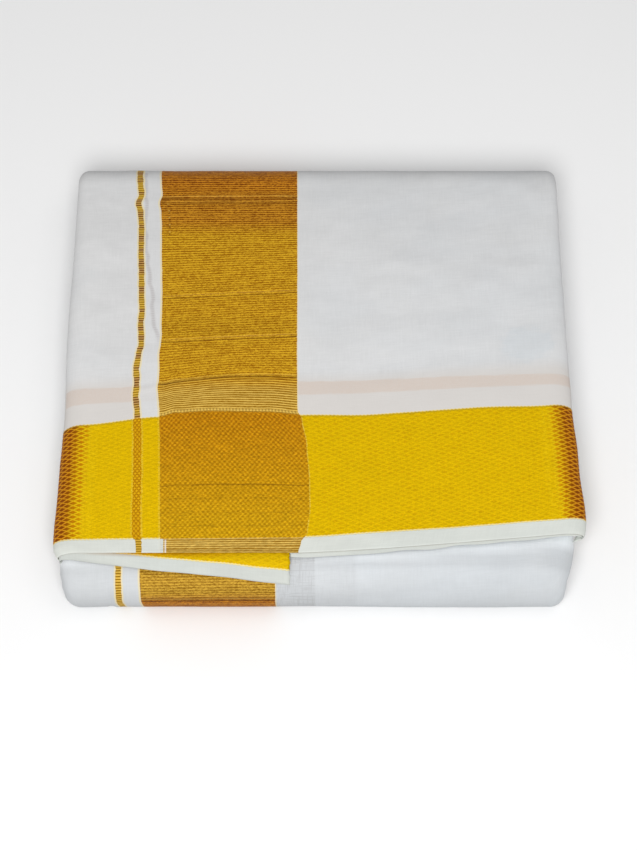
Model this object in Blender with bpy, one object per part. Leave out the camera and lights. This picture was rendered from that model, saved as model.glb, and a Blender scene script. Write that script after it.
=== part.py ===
"""A folded dhoti: a long cotton cloth with woven gold borders, folded in twelve panels and then in four, lying flat.

Run with: blender --background --python part.py
Metres, +Z up, +Y towards the back fold. The origin is on the surface it lies on, under the middle of the pack.

The folded cloth is one strip of twelve panels. From its selvedges at the front of the top face it runs back over
the pack, round the back fold, forward along the underside, round the front fold and in under the flap. A place
along it is a stage: 0 to 1 top face, 1 to 2 back fold, 2 to 3 underside, 3 to 4 front fold, 4 to 5 tucked in.
"""

import math
from collections import namedtuple

import bmesh
import bpy
from mathutils import Vector

MM = 0.001

# The pack.
HALF_WIDTH = 163.8 * MM
HALF_DEPTH = 160.2 * MM
BACK_RADIUS = 21.5 * MM
FRONT_BULGE = 15.0 * MM
FRONT_HEIGHT = 35.0 * MM
FLAP_TOP = 44.0 * MM
TOP_CROWN = 1.8 * MM
FLAP_SETBACK = 6.0 * MM
SKEW = 14.5 * MM
SKEW_FROM_X = -15.0 * MM
TUCK_LENGTH = 50.0 * MM

# The cloth. A panel is thicker here than one layer, because it stands for the few that lie together.
WALL = 1.5 * MM
UNDER_WALL = 1.2 * MM
GAP = 0.5 * MM
SEAM = 0.3 * MM
CREASE = 0.9 * MM

# The weave, measured on the flat cloth.
SELVEDGE = 9.5 * MM
BORDER = 87.0 * MM
STRIPE_X = -115.2 * MM
STRIPE_WIDTH = 4.6 * MM
BAND_LEFT_X = -98.0 * MM
BAND_WIDTH = 89.5 * MM

# Where the top face and the underside are parted, on the underside.
PARTING_STAGE = 2.2

# Mesh steps.
CURL_STEPS = 8
BACK_STEPS = 12
FRONT_STEPS = 12
RIBS = 3
RIB_POINTS = (0.0, 0.18, 0.5, 0.82)
GROOVE = 1.0 * MM

FRONT_AXIS = -HALF_DEPTH + FRONT_BULGE
BACK_AXIS = HALF_DEPTH - BACK_RADIUS
FLAP_EDGE = FRONT_AXIS + FLAP_SETBACK
TOP_RUN = BACK_AXIS - FLAP_EDGE
COVER = WALL + GAP
UNDER_COVER = COVER + UNDER_WALL + GAP

Row = namedtuple("Row", "stage left right round_in drop_left drop_right wrap_left wrap_right")
# Half widths to the left and right, how far in the side starts to round, how far the cloth drops round it, and
# the angle to which it wraps the side (90 stops upright). Lengths in mm, angles in degrees.
SIDE_ROWS = (
    Row(0.00, 163.8, 163.8, 15.0, 8.5, 6.5, 125.0, 120.0),
    Row(0.19, 163.0, 161.6, 15.0, 8.5, 6.8, 118.0, 113.0),
    Row(0.36, 161.5, 159.2, 15.0, 8.5, 7.2, 111.0, 106.0),
    Row(0.57, 162.6, 158.2, 15.0, 8.5, 7.8, 103.0, 100.0),
    Row(0.80, 161.3, 157.5, 15.0, 8.5, 8.2, 96.0, 96.0),
    Row(1.00, 160.8, 157.3, 15.0, 8.5, 8.5, 95.0, 95.0),
    Row(1.50, 159.8, 156.6, 14.0, 8.5, 8.5, 94.0, 94.0),
    Row(2.00, 158.5, 155.5, 15.0, 9.5, 9.5, 94.0, 94.0),
    Row(2.85, 155.5, 151.0, 17.0, 10.0, 10.0, 94.0, 94.0),
    Row(3.00, 152.5, 147.2, 18.0, 10.5, 10.5, 94.0, 94.0),
    Row(3.50, 156.2, 150.8, 17.0, 9.5, 9.5, 94.0, 94.0),
    Row(4.00, 157.4, 152.6, 13.0, 6.5, 6.5, 86.0, 86.0),
    Row(4.40, 157.5, 154.0, 12.5, 6.2, 6.2, 82.0, 82.0),
    Row(5.00, 156.5, 154.5, 12.0, 6.0, 6.0, 76.0, 76.0),
)

Drift = namedtuple("Drift", "stage x")
# The bands run a little askew to the pack's sides, so they drift to the left along the strip. In mm.
BAND_DRIFT_ROWS = (Drift(0.0, 0.0), Drift(1.0, -7.8), Drift(3.5, -12.5), Drift(5.0, -13.5))

Swell = namedtuple("Swell", "x y reach_x reach_y lift")
# Broad swells and hollows of the top face. In mm.
SWELLS = (
    Swell(-55.0, -40.0, 55.0, 75.0, 1.1),
    Swell(25.0, -50.0, 50.0, 70.0, -0.9),
    Swell(100.0, -35.0, 55.0, 80.0, 0.9),
    Swell(-125.0, 60.0, 55.0, 70.0, -0.7),
    Swell(30.0, 85.0, 75.0, 55.0, 0.8),
)

Reach = namedtuple("Reach", "x out")
# How far each under layer comes out in front of the flap's edge, by x. In mm.
LEFT_LAYER_ROWS = (Reach(-162.0, 1.5), Reach(-151.0, 4.2), Reach(-105.0, 10.4), Reach(-20.0, 19.5))
RIGHT_LAYER_ROWS = (Reach(-17.0, 2.2), Reach(60.0, 1.1), Reach(162.0, 0.7))
LAYER_CUT_END = -18.6 * MM
LAYERS_APART = 1.2 * MM
UNDER_LAYER_ROWS = 5
COVER_CHANGE = (0.01, 0.04)
DROOP_START = math.radians(8.0)
DROOP_END = math.radians(52.0)
DROOP_LENGTH = 19.5 * MM
FLAP_CORE_SETBACK = (5.0 * MM, 11.0 * MM)

COTTON = ("bleached cotton", (0.86, 0.87, 0.87), 0.88, 0.0)
ZARI = ("gold zari weave", (0.80, 0.56, 0.03), 0.42, 0.35)
INNER_COTTON = ("bleached cotton, inner layers", (0.80, 0.81, 0.81), 0.90, 0.0)


def interpolate(rows, at):
    """The row of a table at this value of its first column, its other columns eased between the rows on each side."""
    for low, high in zip(rows, rows[1:]):
        if at <= high[0]:
            break
    share = min(1.0, max(0.0, (at - low[0]) / (high[0] - low[0])))
    eased = share * share * (3 - 2 * share)
    return type(low)(at, *(a + (b - a) * eased for a, b in zip(low[1:], high[1:])))


def slit(y):
    """Height of the slit under the flap: it falls evenly from the front fold's top to the middle of the back fold."""
    return FRONT_HEIGHT + (BACK_RADIUS - FRONT_HEIGHT) * (y - FRONT_AXIS) / (BACK_AXIS - FRONT_AXIS)


def slit_room(y):
    """Room over the slit, which widens to the crease inside the back fold."""
    return SEAM + (CREASE - SEAM) * (y - FRONT_AXIS) / (BACK_AXIS - FRONT_AXIS)


def setback(x):
    """How far behind its foremost point the flap's edge lies at this x, because the fold isn't quite square."""
    share = (x - SKEW_FROM_X) / (HALF_WIDTH - SKEW_FROM_X)
    return SKEW * max(0.0, share) ** 1.25


def band_drift(stage):
    return interpolate(BAND_DRIFT_ROWS, stage).x * MM


def swell(x, y):
    lift = 0.0
    for s in SWELLS:
        away = ((x / MM - s.x) / s.reach_x) ** 2 + ((y / MM - s.y) / s.reach_y) ** 2
        lift += s.lift * MM * math.exp(-away)
    return lift


def outline(stage):
    """(y, z) of the strip's outer face at this stage, half way across the pack."""
    if stage <= 1:
        height = FLAP_TOP + (2 * BACK_RADIUS - FLAP_TOP) * stage
        return FLAP_EDGE + TOP_RUN * stage, height + TOP_CROWN * math.sin(math.pi * stage)
    if stage <= 2:
        turn = math.pi * (stage - 1)
        return BACK_AXIS + BACK_RADIUS * math.sin(turn), BACK_RADIUS * (1 + math.cos(turn))
    if stage <= 3:
        return BACK_AXIS + (FRONT_AXIS - BACK_AXIS) * (stage - 2), 0.0
    if stage <= 4:
        turn = math.pi * (stage - 3)
        return FRONT_AXIS - FRONT_BULGE * math.sin(turn), FRONT_HEIGHT / 2 * (1 - math.cos(turn))
    y = FRONT_AXIS + TUCK_LENGTH * (stage - 4)
    return y, slit(y)


def inward(stage):
    """The direction in the YZ plane from the outer face into the pack."""
    step = 1e-4
    y0, z0 = outline(max(0.0, stage - step))
    y1, z1 = outline(min(5.0, stage + step))
    length = math.hypot(y1 - y0, z1 - z0)
    return (z1 - z0) / length, (y0 - y1) / length


def lay(stage, x, depth):
    """The point of the pack this far along and across, this deep below the outer face."""
    y, z = outline(stage)
    in_y, in_z = inward(stage)
    if stage < 1:
        y += setback(x) * (1 - stage)
        z += swell(x, y) * min(1.0, 4 * (1 - stage))
    return Vector((x, y + in_y * depth, z + in_z * depth))


def side(row, sign):
    """Half width, rounding, drop and wrap of one side of the pack, in metres and radians."""
    if sign < 0:
        return row.left * MM, row.round_in * MM, row.drop_left * MM, math.radians(row.wrap_left)
    return row.right * MM, row.round_in * MM, row.drop_right * MM, math.radians(row.wrap_right)


def curl(row, sign, depth, turn):
    """(x, depth) on the side's rounded shoulder, at this angle round it, for a layer this deep."""
    half, round_in, drop, _ = side(row, sign)
    x = sign * (half - round_in + (round_in - depth) * math.sin(turn))
    return x, drop - (drop - depth) * math.cos(turn)


def flat_columns(stage):
    """x of the columns across the flat of the cloth: the edges of the stripe and band, and lines between them."""
    drift = band_drift(stage)
    stripe = STRIPE_X + drift
    band = BAND_LEFT_X + drift
    row = interpolate(SIDE_ROWS, stage)
    left = -(row.left - row.round_in) * MM
    right = (row.right - row.round_in) * MM
    band_right = band + BAND_WIDTH
    ends = [left, stripe, stripe + STRIPE_WIDTH, band, band_right, right]
    parts = (2, 1, 1, 4, 5)
    columns = []
    for a, b, count in zip(ends, ends[1:], parts):
        columns += [a + (b - a) * k / count for k in range(count)]
    return columns + [right]


def wrap_row(stage):
    """The outer cloth's points across the pack at this stage, from the end of one side's wrap to the other's."""
    row = interpolate(SIDE_ROWS, stage)
    places = []
    for sign in (-1, 1):
        wrap = side(row, sign)[3]
        turns = [wrap * (1 - k / CURL_STEPS) for k in range(CURL_STEPS)]
        places.append([curl(row, sign, 0.0, turn) for turn in turns])
    across = places[0] + [(x, 0.0) for x in flat_columns(stage)] + places[1][::-1]
    return [lay(stage, x, depth) for x, depth in across]


def new_material(finish):
    name, colour, roughness, metallic = finish
    material = bpy.data.materials.get(name) or bpy.data.materials.new(name)
    material.use_nodes = True
    shader = material.node_tree.nodes["Principled BSDF"]
    shader.inputs["Base Color"].default_value = (*colour, 1.0)
    shader.inputs["Roughness"].default_value = roughness
    shader.inputs["Metallic"].default_value = metallic
    material.diffuse_color = (*colour, 1.0)
    return material


def new_object(name, mesh_data, finishes):
    """An object from a finished bmesh, shaded smooth, with its materials."""
    mesh = bpy.data.meshes.new(name)
    mesh_data.to_mesh(mesh)
    mesh_data.free()
    mesh.shade_smooth()
    mesh.set_sharp_from_angle(angle=math.radians(50))
    for finish in finishes:
        mesh.materials.append(new_material(finish))
    part = bpy.data.objects.new(name, mesh)
    bpy.context.scene.collection.objects.link(part)
    return part


def add_grid(mesh_data, rows):
    """Vertices in rows, and the quads between them. Returns the vertices and the quads, both as rows."""
    vertices = [[mesh_data.verts.new(point) for point in row] for row in rows]
    quads = []
    for row, next_row in zip(vertices, vertices[1:]):
        quads.append([
            mesh_data.faces.new((row[k], row[k + 1], next_row[k + 1], next_row[k]))
            for k in range(len(row) - 1)
        ])
    return vertices, quads


def cloth_from(name, rows, thickness, finishes, is_zari=None):
    """A cloth panel whose outer face is this grid, thickened inwards. is_zari picks the quads woven with gold."""
    sheet = bmesh.new()
    quads = add_grid(sheet, rows)[1]
    if is_zari:
        for i, row in enumerate(quads):
            for k, quad in enumerate(row):
                quad.material_index = int(is_zari(i, k))
    panel = new_object(name, sheet, finishes)
    wall = panel.modifiers.new("cloth thickness", "SOLIDIFY")
    wall.thickness = thickness
    wall.offset = -1.0
    wall.use_even_offset = True
    return panel


def top_stages():
    """Stages down the top face: the lines of the selvedge and border, then even steps to the back fold."""
    lines = [0.0, SELVEDGE / TOP_RUN]
    border_steps = 4
    lines += [(SELVEDGE + BORDER * k / border_steps) / TOP_RUN for k in range(1, border_steps + 1)]
    body_steps = 7
    return lines + [lines[-1] + (1 - lines[-1]) * k / body_steps for k in range(1, body_steps + 1)]


def zari_columns():
    """The numbers of the wrapped cloth's columns of quads that lie in the stripe and in the band."""
    stripe = CURL_STEPS + 2
    band = range(stripe + 2, stripe + 6)
    return {stripe, *band}


def top_stretch():
    stages = top_stages()
    border_rows = range(1, 5)
    stages += [1 + k / BACK_STEPS for k in range(1, BACK_STEPS + 1)] + [PARTING_STAGE]
    rows = [wrap_row(stage) for stage in stages]
    gold = zari_columns()
    return cloth_from("top_stretch", rows, WALL, (COTTON, ZARI), lambda i, k: i in border_rows or k in gold)


def front_stretch():
    underside = BACK_AXIS - FRONT_AXIS
    start = PARTING_STAGE + SEAM / underside
    under_steps = 4
    stages = [start + (3 - start) * k / under_steps for k in range(under_steps)]
    stages += [3 + k / FRONT_STEPS for k in range(FRONT_STEPS + 1)]
    tuck_steps = 4
    stages += [4 + k / tuck_steps for k in range(1, tuck_steps + 1)]
    rows = [wrap_row(stage) for stage in stages]
    gold = zari_columns()
    return cloth_from("front_stretch", rows, WALL, (COTTON, ZARI), lambda i, k: k in gold)


def droop(out):
    """(y, z) shift of an under layer this far out in front of the flap's edge, as it bends down over the fold."""
    bend = (DROOP_END - DROOP_START) / DROOP_LENGTH
    angle = DROOP_START + bend * out
    return -(math.sin(angle) - math.sin(DROOP_START)) / bend, -(math.cos(DROOP_START) - math.cos(angle)) / bend


def under_layer(name, reach_rows, columns_at, front_steps):
    """A layer just under the top one, from inside the pack to its own front edge. columns_at(row) gives its
    columns as (x, depth) for that row of SIDE_ROWS.
    """
    hidden = [-stage * TOP_RUN for stage in top_stages()[UNDER_LAYER_ROWS - 1::-1]]
    reaches = [interpolate(reach_rows, x / MM).out * MM for x, _ in columns_at(SIDE_ROWS[0])]
    outs = [[out] * len(reaches) for out in hidden]
    outs += [[reach * k / front_steps for reach in reaches] for k in range(1, front_steps + 1)]
    rows = []
    for row_outs in outs:
        stage = max(0.0, -row_outs[0] / TOP_RUN)
        row = []
        for (x, depth), out in zip(columns_at(interpolate(SIDE_ROWS, stage)), row_outs):
            shift_y, shift_z = droop(max(0.0, out))
            row.append(lay(stage, x, depth) + Vector((0.0, shift_y, shift_z)))
        rows.append(row)

    def in_border(i, k):
        return reaches[k] - (outs[::-1][i][k] + outs[::-1][i + 1][k]) / 2 > SELVEDGE

    return cloth_from(name, rows[::-1], UNDER_WALL, (COTTON, ZARI), in_border)


def left_columns(row):
    turn = math.radians(58)
    steps = 4
    columns = [curl(row, -1, COVER, turn * (1 - k / steps)) for k in range(steps)]
    flat_left = -(row.left - row.round_in) * MM
    flat_steps = 9
    return columns + [(flat_left + (LAYER_CUT_END - flat_left) * k / flat_steps, COVER) for k in range(flat_steps + 1)]


def right_columns(row):
    turn = math.radians(50)
    steps = 4
    start = LAYER_CUT_END + LAYERS_APART
    flat_right = (row.right - row.round_in) * MM
    flat_steps = 9
    columns = [(start + (flat_right - start) * k / flat_steps, COVER) for k in range(flat_steps)]
    return columns + [curl(row, 1, COVER, turn * k / steps) for k in range(steps + 1)]


def under_layer_left():
    return under_layer("under_layer_left", LEFT_LAYER_ROWS, left_columns, 8)


def under_layer_right():
    return under_layer("under_layer_right", RIGHT_LAYER_ROWS, right_columns, 2)


Station = namedtuple("Station", "outer inner row cover outer_depth inner_depth stage")
# One section of the strip of hidden layers: (y, z) of its outer and inner face, the row of SIDE_ROWS that bounds
# its sides, how deep the cloth over it reaches, how deep its own two faces lie, and its stage on the top face.


def flap_stages(first):
    """Stages of the hidden layers' sections in the flap: those of the top face, and two where the cover changes."""
    shared = [stage for stage in top_stages()[1:] if stage > first + 0.01]
    change = top_stages()[UNDER_LAYER_ROWS - 1]
    return sorted([first, change + COVER_CHANGE[0], change + COVER_CHANGE[1], *shared])


def cover_at(stage):
    """How deep below the outer face the hidden layers start: deeper where an under layer lies over them."""
    change = top_stages()[UNDER_LAYER_ROWS - 1]
    share = (stage - change - COVER_CHANGE[0]) / (COVER_CHANGE[1] - COVER_CHANGE[0])
    return UNDER_COVER + (COVER - UNDER_COVER) * min(1.0, max(0.0, share))


def upper_middle(stage):
    """Height where the outer and inner pass of the strip meet in the flap."""
    top = FLAP_TOP + (2 * BACK_RADIUS - FLAP_TOP) * stage - COVER
    return (top + slit(FLAP_EDGE + TOP_RUN * stage)) / 2


def lower_middle(y):
    """Height where the passes meet under the slit."""
    share = (y - FRONT_AXIS) / (BACK_AXIS - FRONT_AXIS)
    return (slit(y) + COVER * share) / 2


def outer_pass():
    """The strip under the outer cloth, from its front edge in the flap to the top of the front fold."""
    stations = []
    for stage in flap_stages(FLAP_CORE_SETBACK[0] / TOP_RUN):
        y, z = outline(stage)
        cover = cover_at(stage)
        inner = upper_middle(stage) + GAP / 2
        row = interpolate(SIDE_ROWS, stage)
        stations.append(Station((y, z - cover), (y, inner), row, cover, cover, z - inner, stage))
    middle_radius = upper_middle(1.0) - BACK_RADIUS + GAP / 2
    for k in range(1, BACK_STEPS + 1):
        turn = math.pi * k / BACK_STEPS
        facing = (math.sin(turn), math.cos(turn))
        faces = [(BACK_AXIS + r * facing[0], BACK_RADIUS + r * facing[1]) for r in (BACK_RADIUS - COVER, middle_radius)]
        row = interpolate(SIDE_ROWS, 1 + k / BACK_STEPS)
        stations.append(Station(*faces, row, COVER, COVER, BACK_RADIUS - middle_radius, 1.0))
    under_steps = 4
    for k in range(1, under_steps):
        y = outline(2 + k / under_steps)[0]
        inner = lower_middle(y) - GAP / 2
        row = interpolate(SIDE_ROWS, 2 + k / under_steps)
        stations.append(Station((y, COVER), (y, inner), row, COVER, COVER, inner, 1.0))
    middle = FRONT_HEIGHT / 2
    for k in range(FRONT_STEPS + 1):
        stage = 3 + k / FRONT_STEPS
        turn = math.pi * k / FRONT_STEPS
        y, z = outline(stage)
        in_y, in_z = inward(stage)
        outer = (y + in_y * COVER, z + in_z * COVER)
        inner = (FRONT_AXIS - GAP / 2 * math.sin(turn), middle - GAP / 2 * math.cos(turn))
        row = interpolate(SIDE_ROWS, stage)
        stations.append(Station(outer, inner, row, COVER, COVER, math.dist((y, z), inner), 1.0))
    return stations


def inner_pass():
    """The strip inside the outer pass: back along the slit, round inside the back fold, forward into the flap."""
    stations = []
    leg = BACK_AXIS - FRONT_AXIS
    tuck_end = TUCK_LENGTH + 2 * GAP
    reaches = [tuck_end / 3, tuck_end * 2 / 3, tuck_end, tuck_end + 8 * MM]
    after_steps = 5
    reaches += [reaches[-1] + (leg - reaches[-1]) * k / after_steps for k in range(1, after_steps + 1)]
    for reach in reaches:
        y = FRONT_AXIS + reach
        below = COVER if reach <= tuck_end else slit_room(y)
        inner = lower_middle(y) + GAP / 2
        row = interpolate(SIDE_ROWS, 4 + min(1.0, reach / TUCK_LENGTH))
        wide = interpolate(SIDE_ROWS, 3 - reach / leg)
        row = row._replace(left=min(row.left, wide.left), right=min(row.right, wide.right))
        stations.append(Station((y, slit(y) - below), (y, inner), row, COVER, below, slit(y) - inner, 1.0))
    crease = CREASE
    middle_radius = upper_middle(1.0) - BACK_RADIUS - GAP / 2
    turn_steps = 8
    for k in range(1, turn_steps):
        turn = math.pi * (1 - k / turn_steps)
        facing = (math.sin(turn), math.cos(turn))
        faces = [(BACK_AXIS + r * facing[0], BACK_RADIUS + r * facing[1]) for r in (crease, middle_radius)]
        row = interpolate(SIDE_ROWS, 2 - k / turn_steps)
        stations.append(Station(*faces, row, COVER, BACK_RADIUS - crease, BACK_RADIUS - middle_radius, 1.0))
    for stage in flap_stages(FLAP_CORE_SETBACK[1] / TOP_RUN)[::-1]:
        y, z = outline(stage)
        outer = slit(y) + slit_room(y)
        inner = upper_middle(stage) - GAP / 2
        row = interpolate(SIDE_ROWS, stage)
        stations.append(Station((y, outer), (y, inner), row, cover_at(stage), z - outer, z - inner, stage))
    return stations


def side_limit(station, sign, depth):
    """How far out the hidden layers may reach at this depth, inside the cloth that rounds the side."""
    half, round_in, drop, wrap = side(station.row, sign)
    if depth <= station.cover:
        return half - round_in
    height = max(math.cos(wrap), (drop - depth) / (drop - station.cover))
    if wrap < math.pi / 2 and height <= math.cos(wrap):
        height = 0.0
    return half - round_in + (round_in - station.cover) * math.sqrt(1 - height * height)


def rib_shares():
    """Shares of the strip's thickness at which its side has points: a groove, two shoulders and a crest a rib."""
    return [(rib + at) / RIBS for rib in range(RIBS) for at in RIB_POINTS] + [1.0]


def groove_at(share):
    """How far the side is cut back at this share of the thickness, deepest between two folded edges."""
    return GROOVE * (1 - math.sin(math.pi * ((share * RIBS) % 1.0))) ** 2


def strip_point(station, share, x, forward=0.0):
    """A point of the strip at this share of its thickness, moved as the top face is."""
    y = station.outer[0] + (station.inner[0] - station.outer[0]) * share
    z = station.outer[1] + (station.inner[1] - station.outer[1]) * share
    if station.stage < 1:
        y += setback(x) * (1 - station.stage)
        outermost = station.outer_depth <= station.cover + GAP
        follow = (1 - share) if outermost else 0.0
        z += follow * swell(x, y) * min(1.0, 4 * (1 - station.stage))
    return Vector((x, y - forward, z))


def strip_section(station, forward=False):
    """Rows of points over the thickness of the strip, from one side to the other: its edges ribbed as the folds."""
    columns = 9
    rows = []
    for share in rib_shares():
        depth = station.outer_depth + (station.inner_depth - station.outer_depth) * share
        cut = groove_at(share)
        left = -side_limit(station, -1, depth) + cut
        right = side_limit(station, 1, depth) - cut
        step_out = (GROOVE - cut) if forward else 0.0
        rows.append([
            strip_point(station, share, left + (right - left) * k / (columns - 1), step_out) for k in range(columns)
        ])
    return rows


def hidden_layers():
    """All the layers that don't show, as one wound strip with ribbed sides and ends."""
    stations = outer_pass() + inner_pass()
    last = len(stations) - 1
    strip = bmesh.new()
    rings = []
    for i, station in enumerate(stations):
        rows = strip_section(station, forward=i in (0, last))
        ring = rows[0] + [row[-1] for row in rows[1:-1]] + rows[-1][::-1] + [row[0] for row in rows[-2:0:-1]]
        rings.append([strip.verts.new(point) for point in ring])
        if i in (0, last):
            close_end(strip, rings[-1], rows, outwards_first=i == 0)
    for ring, next_ring in zip(rings, rings[1:]):
        count = len(ring)
        for k in range(count):
            other = (k + 1) % count
            strip.faces.new((ring[k], ring[other], next_ring[other], next_ring[k]))
    bmesh.ops.recalc_face_normals(strip, faces=strip.faces)
    return new_object("hidden_layers", strip, (INNER_COTTON,))


def close_end(strip, ring, rows, outwards_first):
    """Fills the end of the strip with a grid between its faces and its ribbed sides."""
    columns = len(rows[0])
    between = len(rows) - 2
    grid = [ring[:columns]]
    for r in range(1, between + 1):
        inner = [strip.verts.new(point) for point in rows[r][1:-1]]
        grid.append([ring[2 * columns + 2 * between - r], *inner, ring[columns + r - 1]])
    grid.append(ring[columns + between:2 * columns + between][::-1])
    for row, next_row in zip(grid, grid[1:]):
        for k in range(columns - 1):
            corners = (row[k], row[k + 1], next_row[k + 1], next_row[k])
            strip.faces.new(corners if outwards_first else corners[::-1])


def main():
    for old in list(bpy.data.objects):
        bpy.data.objects.remove(old)
    for build in (top_stretch, front_stretch, under_layer_left, under_layer_right, hidden_layers):
        build()


main()
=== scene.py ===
"""The looks of a folded dhoti: thin cotton cloth with woven gold zari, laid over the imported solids.

Laid out as a Blender add-on and run as a script. Metres, +Z up, +Y towards the back fold. Lengths in the tables are
in millimetres. A place along the folded strip is a stage, as in the part's source: 0 to 1 top face, 1 to 2 back
fold, 2 to 3 underside, 3 to 4 front fold, 4 to 5 tucked in under the flap.
"""

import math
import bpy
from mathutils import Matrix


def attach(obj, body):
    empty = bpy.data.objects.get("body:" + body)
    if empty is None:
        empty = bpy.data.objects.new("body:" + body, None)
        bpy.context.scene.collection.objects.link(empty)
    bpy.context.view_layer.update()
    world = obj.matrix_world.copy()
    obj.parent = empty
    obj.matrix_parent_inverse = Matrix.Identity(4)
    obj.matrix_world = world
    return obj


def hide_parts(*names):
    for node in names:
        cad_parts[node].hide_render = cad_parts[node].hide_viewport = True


bl_info = {
    "name": "Folded dhoti",
    "version": (1, 0, 0),
    "blender": (4, 5, 0),
    "location": "3D View > Sidebar > Dhoti",
    "description": "Dresses the solids of a folded dhoti in woven cotton and gold zari",
    "category": "Object",
}

from collections import namedtuple
from functools import partial

import bpy
import numpy as np

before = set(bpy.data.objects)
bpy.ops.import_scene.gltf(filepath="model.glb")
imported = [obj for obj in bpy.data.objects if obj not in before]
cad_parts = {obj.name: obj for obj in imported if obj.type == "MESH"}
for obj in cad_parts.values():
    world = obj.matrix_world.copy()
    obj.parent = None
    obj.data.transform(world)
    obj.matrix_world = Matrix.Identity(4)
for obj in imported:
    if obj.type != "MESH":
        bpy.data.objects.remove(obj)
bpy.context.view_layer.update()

MM = 0.001

# The pack's form, as in the part's source.
HALF_DEPTH = 160.2 * MM
BACK_RADIUS = 21.5 * MM
FRONT_BULGE = 15.0 * MM
FRONT_HEIGHT = 35.0 * MM
FLAP_TOP = 44.0 * MM
TOP_CROWN = 1.8 * MM
FLAP_SETBACK = 6.0 * MM
SKEW = 14.5 * MM
SKEW_FROM_X = -15.0 * MM
HALF_WIDTH = 163.8 * MM
TUCK_LENGTH = 50.0 * MM
FRONT_AXIS = -HALF_DEPTH + FRONT_BULGE
BACK_AXIS = HALF_DEPTH - BACK_RADIUS
FLAP_EDGE = FRONT_AXIS + FLAP_SETBACK
TOP_RUN = BACK_AXIS - FLAP_EDGE
UNDER_RUN = BACK_AXIS - FRONT_AXIS
CREASE_INSIDE = 0.9 * MM

Side = namedtuple("Side", "stage left right round_in drop_left drop_right wrap_left wrap_right")
# Half widths to the left and right, how far in the side starts to round, how far the cloth drops round it, and the
# angle to which it wraps the side in degrees.
SIDES = (
    Side(0.000, 161.2, 162.4, 15.0, 8.5, 7.0, 132.0, 146.0),
    Side(0.009, 162.7, 163.3, 15.0, 8.5, 7.0, 131.0, 142.0),
    Side(0.019, 163.8, 163.9, 15.0, 8.5, 7.0, 129.0, 136.0),
    Side(0.040, 164.3, 164.2, 15.0, 8.5, 6.9, 125.0, 126.0),
    Side(0.19, 163.0, 161.6, 15.0, 8.5, 6.8, 118.0, 113.0),
    Side(0.36, 161.5, 159.2, 15.0, 8.5, 7.2, 111.0, 106.0),
    Side(0.57, 162.6, 158.2, 15.0, 8.5, 7.8, 103.0, 100.0),
    Side(0.84, 161.3, 157.5, 12.0, 7.5, 7.5, 96.0, 96.0),
    Side(1.00, 160.9, 157.4, 6.5, 5.5, 5.5, 94.0, 94.0),
    Side(1.50, 160.0, 156.8, 6.0, 5.5, 5.5, 92.0, 92.0),
    Side(2.00, 158.5, 155.5, 10.0, 8.0, 8.0, 92.0, 92.0),
    Side(2.85, 155.8, 151.6, 12.0, 9.0, 9.0, 92.0, 92.0),
    Side(3.00, 155.0, 149.6, 11.0, 9.0, 9.0, 92.0, 92.0),
    Side(3.25, 156.8, 150.6, 9.0, 8.5, 8.5, 92.0, 92.0),
    Side(3.50, 157.6, 150.8, 9.0, 8.0, 8.0, 92.0, 92.0),
    Side(3.75, 158.6, 151.4, 9.0, 7.2, 7.2, 92.0, 92.0),
    Side(4.00, 159.6, 153.2, 9.0, 6.0, 6.0, 90.0, 90.0),
    Side(4.15, 159.9, 155.0, 9.0, 5.8, 5.8, 88.0, 88.0),
    Side(4.30, 159.8, 156.6, 9.5, 5.6, 5.6, 86.0, 86.0),
    Side(5.00, 158.0, 156.5, 10.0, 5.4, 5.4, 80.0, 80.0),
)

Swell = namedtuple("Swell", "x y reach_x reach_y lift")
# Broad swells and hollows of the top face.
SWELLS = (
    Swell(-55.0, -40.0, 55.0, 75.0, 1.1),
    Swell(25.0, -50.0, 50.0, 70.0, -0.9),
    Swell(100.0, -35.0, 55.0, 80.0, 0.9),
    Swell(-125.0, 60.0, 55.0, 70.0, -0.7),
    Swell(30.0, 85.0, 75.0, 55.0, 0.8),
)

Crease = namedtuple("Crease", "x0 v0 x1 v1 width lift")
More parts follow.
